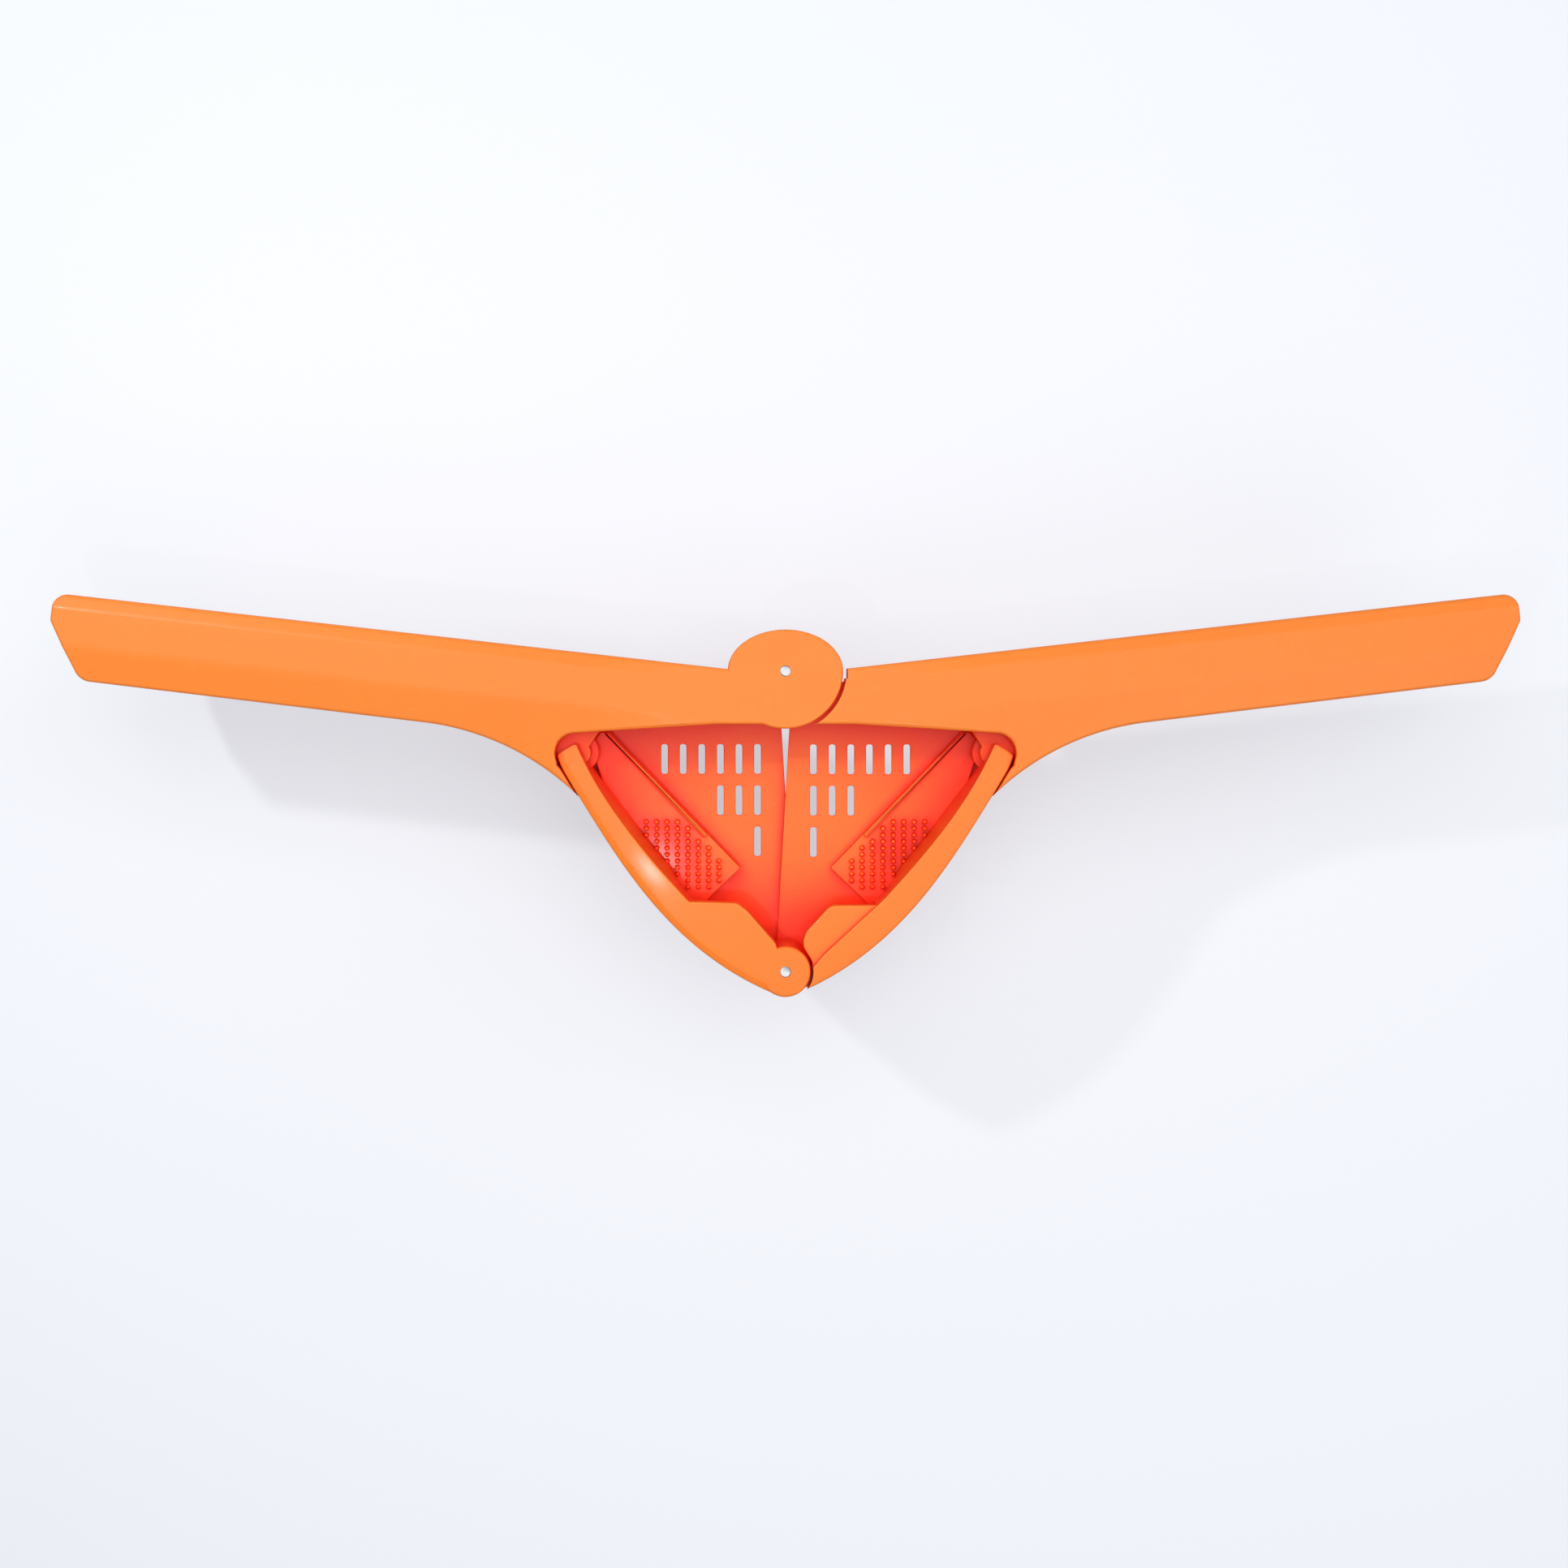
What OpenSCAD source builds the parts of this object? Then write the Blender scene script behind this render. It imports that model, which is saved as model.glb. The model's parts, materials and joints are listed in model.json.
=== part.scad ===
// Hinged lemon squeezer: two handles, two strainer jaws and the four pins that join them in a kite.
// It lies on its back, open: X runs along the handles, +Y towards the handle tips, +Z out of the chamber's mouth.

/* [Linkage] */
// Sideways distance from the hub pin to each side pivot
pivot_out = 61; // [58:0.5:63]
// How far the side pivots sit below the hub pin
pivot_drop = 24.1; // [23:0.1:25.5]
// How far the base pin sits below the hub pin
base_drop = 87.6; // [85:0.2:90]
// Angle of each handle above the level when the squeezer is open
handle_rise = 6.45; // [5.5:0.05:7.5]

/* [Handles] */
// Distance from the hub pin to the handle's end
handle_reach = 212.9; // [180:0.1:230]
// Width of the grip
grip_w = 24.5; // [20:0.1:27]
// How far the mating edge sits below the hub pin
mate_gap = 1.31; // [1:0.01:2]
// Depth of the whole squeezer
depth = 30; // [28:0.5:34]
// Thickness of the handle's front plate
front_t = 4; // [3:0.1:4.5]
// Thickness of the wall along the mating edge
mate_wall_t = 4; // [3:0.1:5]
// Thickness of the rear web
web_t = 2.4; // [1.6:0.1:2.6]
// Width of the flat strip on the front before the surface falls away
flat_w = 15; // [12:0.5:20]
// How fast the front falls away below the flat strip
fall_angle = 12; // [6:0.5:14]
// Width of the chamfer beside the mating edge
mate_chamfer_w = 4.7; // [2:0.1:6]
// Depth of that chamfer
mate_chamfer_d = 1.4; // [0.5:0.1:2]
// Radius of the flare from the grip to the side pivot
flare_r = 75; // [65:1:85]

/* [Hub] */
// Radius of the hub discs
hub_r = 16.7; // [15:0.1:17]
// Height of the hub's flattened upper half
hub_crown = 12; // [10:0.1:14]
// Radial gap between the left hub disc and the right handle
hub_gap = 0.9; // [0.6:0.05:1.2]
// Thickness of the rear hub disc
hub_disc_t = 3.8; // [3:0.1:4.2]
// Radius of the right handle's lug
lug_r = 14; // [12:0.5:15]

/* [Jaws] */
// Thickness of the strainer floors
floor_t = 2.2; // [1.6:0.1:2.3]
// Thickness of the rim band and the lip
rim_t = 5.8; // [5:0.1:6]
// Radius of the knuckles at the base pin
knuckle_r = 7.4; // [6.5:0.1:7.6]
// Radius of the barrels at the side pivots
barrel_r = 5.7; // [5:0.1:6]
// Radius of the handles' lugs at the side pivots
side_lug_r = 3.7; // [3.5:0.1:4.5]
// Thickness of those lugs
side_lug_t = 4; // [3:0.1:4.5]
// Distance of the shelf's beaded edge from the pivot line
shelf_in = 10.2; // [8:0.1:11]
// Width of the bead along the shelf's edge
bead_w = 1.5; // [1:0.1:2.5]
// How far the right lip lies below the right rim
lip_step = 1.2; // [0.8:0.1:2]

/* [Pins] */
// Radius of the hub and base pins
pin_r = 1.6; // [1.4:0.05:2]
// Radius of the side pivot pins
side_pin_r = 1.75; // [1.5:0.05:2]
// Radial clearance of a turning fit
turn_gap = 0.05; // [0.02:0.01:0.09]
// Depth of the base pin's end below the face of its knuckle
pin_recess = 0.6; // [0.4:0.1:2]

/* [Strainer] */
// Distance between the columns of pegs
peg_step_x = 3.1; // [2.6:0.1:4]
// Distance between the rows of pegs
peg_step_y = 1.95; // [1.9:0.05:3]
// Radius of a peg at its root
peg_r = 0.85; // [0.6:0.05:0.95]
// Height of the tall pegs
peg_h = 2.8; // [1.5:0.1:4]
// Width of a juice slot
slot_w = 2; // [1.4:0.1:3]
// Length of a juice slot
slot_l = 9; // [6:0.5:12]
// Distance between the columns of slots
slot_step = 5.6; // [4.6:0.1:8]
// Length of the bridge between two rows of slots
slot_bridge = 3.4; // [2.5:0.1:6]

/* [Hidden] */
$fn = 64;
eps = 0.01;
plastic = [1, 0.55, 0.24];
deep_plastic = [1, 0.5, 0.2];
steel = [0.8, 0.8, 0.82];

gap = 0.3;                 // clearance between faces that slide past each other
knuckle_gap = 0.8;         // radial clearance round a base knuckle
pocket_gap = 0.35;         // radial clearance round a side pivot's barrel
hub_clear = 0.5;           // radial clearance round the hub in the folded jaws
side_clear_r = 5.9;        // the jaw's wall keeps this far from the side pivot, where the lug's arm turns
pin_cover = 1;             // plastic left over the blind end of a side pivot's bore
far = 400;                 // longer than any piece
over = 1;                  // how far a cut runs on past a face
inset = 0.15;              // joined bodies end this far apart, so none of their faces coincide

// Places in the plane, measured from the hub pin
side_pivot = [-pivot_out, -pivot_drop];
base = [0, -base_drop];
jaw_len = norm(base - side_pivot);
jaw_dir = atan2(base.y - side_pivot.y, base.x - side_pivot.x);
grip_bottom = -mate_gap - grip_w;
tip_corner_r = 4;
tip_low_r = 5;
tip_slant = 25;            // the handle's end leans in by this much
tip_flat = 8;              // and is square for this long
tip_lean = 8.6;
tip_top = -mate_gap + handle_reach * sin(handle_rise);
knuckle_bottom = -base_drop - knuckle_r;
hub_y = -(tip_top * cos(handle_rise) + knuckle_bottom) / 2;   // puts the part's middle at the origin

// Levels, from the rear face up
left_floor_z = web_t + gap;
right_floor_z = left_floor_z + floor_t + gap;
left_shelf_z = right_floor_z + floor_t + gap;
shelf_t = 1.9;
low_peg_h = 1.1;
shelf_top_z = left_shelf_z + shelf_t;
low_top_z = shelf_top_z + low_peg_h;    // floors, shelves and pegs stay below this under the hub
hub_z = low_top_z + gap;
front_z = depth - front_t;              // underside of the front plates
rim_gap = 0.4;
jaw_top_z = front_z - rim_gap;
lip_z = jaw_top_z - rim_t;              // underside of the lips and rim bands
lug_z = hub_z + hub_disc_t + gap;
lug_top_z = lip_z - gap;
side_lug_top_z = lip_z - gap;
side_lug_z = side_lug_top_z - side_lug_t;

// Closed pose: the hub pin as the jaw sees it, along and inwards from the pivot line
closed_gap_angle = 7.5;
hub_reach = norm(side_pivot);
closed_hub = hub_reach * [cos(closed_gap_angle), sin(closed_gap_angle)];

function arc(c, r, a0, a1, n = 16) = [for (i = [0:n]) c + r * [cos(a0 + (a1 - a0) * i / n), sin(a0 + (a1 - a0) * i / n)]];
function bezier(p, n = 16) = [for (i = [0:n]) let (t = i / n, u = 1 - t)
    u * u * u * p[0] + 3 * u * u * t * p[1] + 3 * u * t * t * p[2] + t * t * t * p[3]];
function spin(p, a) = [p.x * cos(a) - p.y * sin(a), p.x * sin(a) + p.y * cos(a)];
function polar(r, a) = r * [cos(a), sin(a)];
function to_plane(p) = side_pivot + spin(p, jaw_dir);          // from the jaw's own axes to the plane
function left_side(p) = spin([-p.x, p.y], -handle_rise);       // from the left handle's own axes
function placed(points, at) = [for (p = points) at + p];

// The whole part is centred on the origin; a right-hand piece is the mirror image of a left-hand one
module centred() translate([0, hub_y, 0]) children();
module right_side() mirror([1, 0, 0]) children();
// Along a handle: x outwards from the hub pin, y up
module along_handle() mirror([1, 0, 0]) rotate(handle_rise) children();
// Along a jaw: x from the side pivot to the base pin, y into the chamber
module along_jaw() translate(side_pivot) rotate(jaw_dir) children();
module slab(z0, z1) translate([0, 0, z0]) linear_extrude(z1 - z0) children();
module post(p, r, z0, z1) translate([p.x, p.y, z0]) cylinder(r = r, h = z1 - z0);

// ---------- handles ----------
flare_from = 103;
grip_swell = 0.8;                       // the grip widens this much towards the flare
flare_bottom = grip_bottom - grip_swell;
flare_c = [flare_from, flare_bottom - flare_r];
tail = [56, -43.7];
tail_angle = acos((tail.x - flare_c.x) / norm(tail - flare_c));

function handle_outline() = concat(
    [[0, -mate_gap]],
    arc([handle_reach - tip_corner_r, -mate_gap - tip_corner_r], tip_corner_r, 90, 0, 8),
    [[handle_reach, -mate_gap - tip_flat]],
    arc([handle_reach - tip_lean - tip_corner_r, grip_bottom + tip_low_r], tip_low_r, -tip_slant, -90, 8),
    arc(flare_c, flare_r, 90, tail_angle, 20),
    [[0, tail.y]]);

// Cross-section seen along the handle: y across it, z up
fall_w = 6 * hub_r;                     // wider than the handle
module handle_section() rotate([90, 0, 90]) linear_extrude(far) polygon([
    [-mate_gap, 0],
    [-mate_gap, depth - mate_chamfer_d],
    [-mate_gap - mate_chamfer_w, depth],
    [-mate_gap - flat_w, depth],
    [-mate_gap - flat_w - fall_w, depth - fall_w * tan(fall_angle)],
    [-mate_gap - flat_w - fall_w, 0]]);

// The jaw's outer face: a curve bowed out from the pivot line
jaw_root = 6;
jaw_bow = [12.2, 20.8];
jaw_meets = -66.5;                      // it runs into the knuckle along the knuckle's tangent at this angle,
knuckle_bite = 0.12;                    // and ends this far inside it
function jaw_outer(grow = 0, n = 24) = bezier([
    [0, -jaw_root - grow], [jaw_len / 3, -jaw_bow[0] - grow], [jaw_len * 2 / 3, -jaw_bow[1] - grow],
    [jaw_len, 0] + polar(knuckle_r - knuckle_bite + grow, jaw_meets)], n);
jaw_outer_near = [for (i = [16:-1:0]) jaw_outer(gap)[i]];      // the part of it inside the handle, from its far end

// The front plate ends this far below the hub pin, and runs round the side pivot's pocket
mouth_edge_mid = 15.4;
mouth_bend = [-20, -mouth_edge_mid];
mouth_turn = [polar(barrel_r + pocket_gap - eps, 99), [6.5, 6.5]];
jaw_heel = 1.5;
module mouth() polygon(concat(
    placed(mouth_turn, side_pivot), [mouth_bend, [hub_r, -mouth_edge_mid], [hub_r, -far]],
    [for (p = jaw_outer_near) to_plane(p)], [to_plane([-jaw_heel, -jaw_root - gap])]));
module pivot_pocket(z0, z1) post(side_pivot, barrel_r + pocket_gap, z0, z1);

cavity_end = 54;                        // the hollow behind the front plate, along the handle
low_end = 67;                           // the lower hollow that the strainer floors fold into
low_bottom = 28;

module handle_shell(hub_cut_r) difference() {
    along_handle() intersection() {
        linear_extrude(depth) polygon(handle_outline());
        handle_section();
    }
    along_handle() slab(low_top_z, front_z)
        translate([-hub_r, -far - mate_gap - mate_wall_t]) square([cavity_end + hub_r, far]);
    along_handle() slab(web_t, low_top_z)
        translate([-hub_r, -low_bottom]) square([low_end + hub_r, low_bottom + hub_r]);
    slab(web_t, depth + eps) mouth();
    slab(-eps, web_t + eps) rear_window();
    pivot_pocket(web_t, side_lug_z - gap);
    pivot_pocket(side_lug_top_z, depth + eps);
    post([0, 0], hub_cut_r, -eps, depth + eps);
    along_handle() core_bays();
}

// The rear web only backs the side pivot, so the floors stay in sight behind
web_from = 40;
module rear_window() {
    along_handle() translate([-hub_r, -far / 2]) square([web_from + hub_r, far]);
    polygon([for (i = [0:12]) to_plane(jaw_outer_near[i])]);
}

// Bays that hollow the grip from its mating edge, with ribs between them
bay_count = 5;
bay_from = 74;
bay_rib = 3;
bay_wall = 3.5;
bay_depth = 18;
bay_end = 12;
bay_l = (handle_reach - bay_from - bay_end) / bay_count - bay_rib;
module core_bays() for (i = [0:bay_count - 1])
    translate([bay_from + i * (bay_l + bay_rib), -mate_gap - bay_depth, bay_wall])
        cube([bay_l, bay_depth + over, depth - 2 * bay_wall - mate_chamfer_d]);

// A hub disc: round below, flattened above
crown = hub_crown / hub_r;
module crowned_disc(r, z0, z1) slab(z0, z1) polygon(concat(
    arc([0, 0], r, 180, 360, 40), [for (p = arc([0, 0], r, 0, 180, 24)) if (p.y > eps) [p.x, p.y * crown]]));

// Webs that carry the hub discs on the walls beside them
disc_neck = [[-0.6 * hub_r, -mate_gap + 1.2], left_side([24, -mate_gap]), left_side([24, -mate_gap - mate_wall_t]),
             [-hub_r - 1.5, -7], [-0.5 * hub_r, -10]];
front_neck = [[-0.8 * hub_r, -mate_gap + 2.2], left_side([22, -mate_gap]), [-24, 0.35 - mouth_edge_mid], [0, 0.35 - mouth_edge_mid], [0, 0]];

// A side pivot's lug and the arm that carries it, from the shelf's end round to the handle's wall
arm = [[2.4, 2.1], [6.3, 6.6], [6.3, 9], [0, 12], polar(12, 175), polar(side_lug_r, 215)];
module side_lug() {
    post(side_pivot, side_lug_r, side_lug_z, side_lug_top_z);
    slab(side_lug_z, side_lug_top_z) polygon(placed(arm, side_pivot));
}
module side_bore() post(side_pivot, side_pin_r, -eps, side_lug_top_z - pin_cover);
module hub_bore(z0, z1, r) post([0, 0], r, z0, z1);

module left_handle() color(plastic) centred() difference() {
    union() {
        handle_shell(hub_r + hub_gap);
        crowned_disc(hub_r, hub_z, hub_z + hub_disc_t);
        slab(hub_z, hub_z + hub_disc_t) polygon(disc_neck);
        crowned_disc(hub_r, front_z, depth);
        slab(front_z, depth) polygon(front_neck);
        side_lug();
    }
    side_bore();
    hub_bore(hub_z - eps, depth + eps, pin_r);
}

// The right handle's lug turns between the two discs; a slot of daylight stays open beside them
slot_to = hub_r + hub_gap;
lug_neck = [[-0.6 * lug_r, -3.2], [-slot_to + 0.7, -3.2], left_side([24, -mate_gap - 1]), left_side([24, -mate_gap - mate_wall_t - 0.5]),
            [-hub_r - 2, -10.5], [-0.5 * lug_r, -12.5]];
daylight = [[-slot_to + 4.9, 0], [-slot_to + 4.9, hub_crown], [-slot_to - 0.5, hub_crown], [-slot_to - 0.5, -2.2], [-slot_to + 0.7, -2.2]];

module right_handle() color(plastic) centred() difference() {
    union() {
        right_side() handle_shell(hub_r + hub_gap);
        crowned_disc(lug_r, lug_z, lug_top_z);
        right_side() slab(lug_z, lug_top_z) polygon(lug_neck);
        right_side() side_lug();
    }
    right_side() side_bore();
    hub_bore(lug_z - eps, lug_top_z + eps, pin_r + turn_gap);
    right_side() slab(-eps, depth + eps) polygon(daylight);
}

// ---------- jaws ----------
rim_start = [-2.3, 2.1];
rim_end = [52.8, -6.1];
function rim_inner(n = 12) = bezier([rim_start, [16, -4.8], [35, -5.6], rim_end], n);
rim_cut = [-3.6, -4.4];                 // outer corner of the rim's straight-cut end
left_wall_end = [[jaw_len, -3.7], [75, -5.4]];
right_wall_end = [[jaw_len, -5.2], [76.4, -4.6], [64.7, -5.3]];

// The jaw's wall, from the floor up to the rim
module wall(end) along_jaw() slab(left_floor_z - inset, jaw_top_z) polygon(concat(
    [rim_cut], jaw_outer(), end, [for (i = [12:-1:0]) rim_inner()[i]]));

// The lip spans the corner beside the base pin; its last three points lie inside the wall
left_lip = [[52.4, -7.5], [62.6, 2.2], [64.5, 3.8], [66, 4.3], [68.4, 4.5], [80, 3.6], [jaw_len, 0]];
right_lip = [[53.6, -8], [64.6, 3.3], [66.2, 3.8], [75.4, 3.6], [77.9, 2.6], [79.4, 1], [80.6, -3.7]];
lip_root = [[jaw_len - 4, -6.8], [66, -9.5], [54, -9]];
module lip(edge, top) along_jaw() slab(lip_z + 2 * inset, top) polygon(concat(edge, lip_root));

floor_top = 14;                         // the floors reach this far under the front plate
floor_edge_gap = 3;
floor_lean = 3.4;
floor_inset = 2;                        // the floor's edge lies inside the wall that carries it
floor_rise = 3.5;                       // and this much further behind the hub
floor_corner = [[-7, -floor_top + floor_rise], [-pivot_out + 26, -floor_top + floor_rise], [-pivot_out + 12, -floor_top], side_pivot + [5, 4]];
module floor_plate(z0) slab(z0, z0 + floor_t) polygon(concat(
    [[floor_edge_gap, -base_drop], [floor_edge_gap - (base_drop - floor_top) * tan(floor_lean), -floor_top]],
    floor_corner, [for (p = jaw_outer(-floor_inset)) to_plane(p)]));

shelf_end = 58;
shelf_notch = [[3.5, 2], [0.6, 2.1], [-0.2, 8.1]];             // the shelf's end beside the side pivot
shelf_root = [[shelf_end, -9], [20, -6]];                      // these lie inside the wall
bead_from = 1.4;
bead_slant = 0.8;                       // the bead starts on the shelf's slanted end
bead_end = 44;
module shelf(z0) along_jaw() slab(z0, shelf_top_z)
    polygon(concat(shelf_notch, [[bead_from, shelf_in], [shelf_end, shelf_in]], shelf_root));
module bead(z0) along_jaw() slab(z0, low_top_z)
    polygon([[bead_from, shelf_in], [bead_end, shelf_in], [bead_end, shelf_in - bead_w], [bead_from - bead_w * bead_slant, shelf_in - bead_w]]);

// Pegs stand in rows along X; those that pass under the hub are short
peg_first = [-41.5, -45];
peg_rows = 11;
peg_cols = 12;
peg_tip = 0.55;                         // a peg's tip is this share of its root
peg_margin = 1.5;                       // from the shelf's end to the last peg
tall_until = 46;
peg_root = 0.4;                         // how deep a peg's root sits in the shelf
// How far into the chamber the rim's inner edge lies, from its start to its end
rim_edge = [[0, rim_start.y], [0.2, -1.5], [0.4, -3.8], [0.6, -5], [1, rim_end.y]];
function rim_at(x) = lookup((x - rim_start.x) / (rim_end.x - rim_start.x), rim_edge);
function in_jaw(p) = spin(p - side_pivot, -jaw_dir);           // from the plane to the jaw's own axes
module peg(h) cylinder(r1 = peg_r, r2 = peg_r * peg_tip, h = peg_root + h, $fn = 24);
module pegs() for (j = [0:peg_rows - 1], i = [0:peg_cols - 1])
    let (p = peg_first + [i * peg_step_x, -j * peg_step_y], q = in_jaw(p))
        if (q.y > rim_at(q.x) + peg_r && q.y < shelf_in - bead_w - peg_r && q.x < shelf_end - peg_margin)
            translate([p.x, p.y, shelf_top_z - peg_root]) peg(q.x < tall_until ? peg_h : low_peg_h);

// Juice slots, in columns between the shelf's edge and the floor's top
slot_first = [-42, -floor_top - 8];
slot_cols = 7;
slot_rows = 5;
slot_margin = 1;                        // from the shelf's edge to the nearest slot
module juice_slots(z0) for (i = [0:slot_cols - 1], j = [0:slot_rows - 1])
    let (p = slot_first + [i * slot_step, -slot_l - j * (slot_l + slot_bridge)])
        if (in_jaw(p - [slot_w, 0]).y > shelf_in + slot_margin)
            translate([p.x - slot_w / 2, p.y, z0 - eps]) cube([slot_w, slot_l, floor_t + 2 * eps]);

// Knuckles at the base pin, from the rear: left floor, right, left, right, left front knuckle
right_knuckle_t = 4.5;
right_knuckle_top_z = shelf_top_z + 0.7;
left_knuckle_z = right_knuckle_top_z + gap;
right_knuckle2_z = lip_z - gap - right_knuckle_t;
module side_pivot_room() {
    post(side_pivot, side_clear_r, side_lug_z - gap, side_lug_top_z + gap);
    post(side_pivot, side_pin_r + turn_gap, -eps, lip_z - gap + eps);
}
module hub_recess() along_jaw() post(closed_hub, hub_r + hub_clear, low_top_z + gap / 2, lip_z);
module base_knuckle(z0, z1) post(base, knuckle_r, z0, z1);
module base_clear(z0, z1) post(base, knuckle_r + knuckle_gap, z0, z1);

module jaw_body(floor_z, shelf_z, wall_end) {
    wall(wall_end);
    floor_plate(floor_z);
    shelf(shelf_z);
    bead(shelf_z);
    pegs();
    post(side_pivot, barrel_r, left_floor_z, side_lug_z - gap);
}

module left_jaw() color(deep_plastic) centred() difference() {
    union() {
        difference() {
            union() {
                jaw_body(left_floor_z, left_shelf_z, left_wall_end);
                lip(left_lip, jaw_top_z);
            }
            base_clear(right_floor_z - gap, left_knuckle_z);
            base_clear(right_knuckle2_z - gap, lip_z);
        }
        base_knuckle(left_floor_z + inset, left_floor_z + floor_t - inset);
        base_knuckle(left_knuckle_z, right_knuckle2_z - gap);
        base_knuckle(lip_z + inset, jaw_top_z);
    }
    side_pivot_room();
    hub_recess();
    juice_slots(left_floor_z);
    post(base, pin_r, -eps, jaw_top_z + eps);
}

module right_jaw() color(deep_plastic) centred() difference() {
    union() {
        difference() {
            union() {
                right_side() jaw_body(right_floor_z, right_floor_z + floor_t / 2, right_wall_end);
                right_side() lip(right_lip, jaw_top_z - lip_step);
            }
            base_clear(left_floor_z - eps, right_floor_z);
            base_clear(left_knuckle_z - gap, right_knuckle2_z);
            base_clear(lip_z - gap, jaw_top_z + eps);
        }
        base_knuckle(right_floor_z + inset, right_knuckle_top_z);
        base_knuckle(right_knuckle2_z, lip_z - gap);
    }
    right_side() side_pivot_room();
    right_side() hub_recess();
    right_side() juice_slots(right_floor_z);
    pin_mouth();
}
// The knuckles clip over the base pin: a fan-shaped mouth lets it in and out
mouth_from = 150;
mouth_to = 205;
mouth_reach = 20;
module pin_mouth() {
    post(base, pin_r + turn_gap, -eps, lip_z);
    slab(-eps, lip_z - gap + eps) translate(base) polygon([
        polar(pin_r + turn_gap / 2, mouth_from - 90), polar(mouth_reach, mouth_from),
        polar(mouth_reach, mouth_to), polar(pin_r + turn_gap / 2, mouth_to + 90)]);
}

// ---------- pins ----------
side_pin_z = 0.4;                       // the pins end just inside the rear face
module hub_pin() color(steel) centred() hub_bore(hub_z, depth, pin_r);
module side_pin() post(side_pivot, side_pin_r, side_pin_z, side_lug_top_z - pin_cover);
module left_pivot_pin() color(steel) centred() side_pin();
module right_pivot_pin() color(steel) centred() right_side() side_pin();
module base_pin() color(steel) centred() post(base, pin_r, left_floor_z, jaw_top_z - pin_recess);

left_handle();
right_handle();
left_jaw();
right_jaw();
hub_pin();
left_pivot_pin();
right_pivot_pin();
base_pin();
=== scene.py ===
# %% [markdown]
# A hinged lemon squeezer lies open on its back: two long handles meet at a hub, two
# strainer jaws hang between the handles and a base pin, and four steel pins join them.
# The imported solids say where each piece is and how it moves. This file gives each of
# them a finished skin: the same shape, with the rounded edges, crowned faces and
# satin plastic that an injection mould leaves.

# %% load the frame
import bpy, bmesh, json, math
import numpy as np
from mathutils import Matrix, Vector

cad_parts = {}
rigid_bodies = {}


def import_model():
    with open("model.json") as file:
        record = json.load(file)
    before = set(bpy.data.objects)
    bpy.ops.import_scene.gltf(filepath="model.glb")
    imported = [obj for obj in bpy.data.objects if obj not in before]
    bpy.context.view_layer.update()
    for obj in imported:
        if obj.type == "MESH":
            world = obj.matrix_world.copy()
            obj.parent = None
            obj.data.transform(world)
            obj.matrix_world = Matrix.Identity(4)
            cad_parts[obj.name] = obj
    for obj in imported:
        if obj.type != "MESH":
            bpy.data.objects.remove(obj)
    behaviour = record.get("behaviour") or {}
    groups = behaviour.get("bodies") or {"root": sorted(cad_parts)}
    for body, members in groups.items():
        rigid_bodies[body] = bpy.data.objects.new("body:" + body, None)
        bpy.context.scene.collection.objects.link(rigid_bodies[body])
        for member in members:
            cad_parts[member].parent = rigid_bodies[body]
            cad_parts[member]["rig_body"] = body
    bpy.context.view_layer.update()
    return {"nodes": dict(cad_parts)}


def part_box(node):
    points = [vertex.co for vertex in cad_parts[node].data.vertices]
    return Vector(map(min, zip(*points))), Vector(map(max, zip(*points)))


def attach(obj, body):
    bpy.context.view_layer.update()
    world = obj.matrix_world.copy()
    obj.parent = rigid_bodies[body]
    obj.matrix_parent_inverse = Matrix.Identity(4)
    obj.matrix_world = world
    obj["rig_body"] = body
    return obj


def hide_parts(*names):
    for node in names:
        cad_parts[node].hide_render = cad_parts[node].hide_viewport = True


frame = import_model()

print("solids", sorted(frame["nodes"]))

# %% [markdown]
# Every measure below is in millimetres, taken from the hub pin: X runs along the
# handles, Y towards the handle tips, Z up out of the chamber. A squeezer is a linkage,
# so the four pin places come first and all the rest hangs on them.

# %% the linkage
pivot_out, pivot_drop, base_drop = 61.0, 24.1, 87.6
handle_rise = math.radians(6.45)
side_pivot = np.array([-pivot_out, -pivot_drop])
base = np.array([0.0, -base_drop])
jaw_len = float(np.linalg.norm(base - side_pivot))
jaw_dir = math.atan2(*(base - side_pivot)[::-1])
handle_reach, mate_gap, grip_w, depth = 212.9, 1.31, 24.5, 30.0
grip_bottom = -mate_gap - grip_w
knuckle_r, barrel_r = 7.4, 5.7
tip_top = -mate_gap + handle_reach * math.sin(handle_rise)
hub_y = -(tip_top * math.cos(handle_rise) - base_drop - knuckle_r) / 2
print("hub pin stands at Y %.3f mm, a jaw is %.2f mm between pins" % (hub_y, jaw_len))

# %% [markdown]
# Plates that turn past each other lie at different depths, like the leaves of a folding
# rule. The rear levels are counted up from the rear face and the front ones down from
# the front face, each a thickness further, with a gap where the two sides move.

# %% levels
web_t, gap, floor_t, front_t, rim_t = 2.4, 0.3, 2.2, 4.0, 5.8
shelf_t, bead_h, jaw_sink, hub_disc_t = 1.9, 1.1, 0.4, 3.8
left_floor_z = web_t + gap
right_floor_z = left_floor_z + floor_t + gap
left_shelf_z = right_floor_z + floor_t + gap
shelf_top_z = left_shelf_z + shelf_t
low_top_z = shelf_top_z + bead_h
hub_z = low_top_z + gap
front_z = depth - front_t
jaw_top_z = front_z - jaw_sink
lip_z = jaw_top_z - rim_t
lug_z = hub_z + hub_disc_t + gap
lug_top_z = lip_z - gap
print("jaw rims end at Z %.1f, handles at %.1f" % (jaw_top_z, depth))

# %% [markdown]
# A moulding's outline is straight runs, arcs and free curves that meet in small rounds.
# Curve objects could draw it too, but an array of points can be turned, mirrored and
# moved inwards by one formula before it becomes a mesh.

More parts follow.
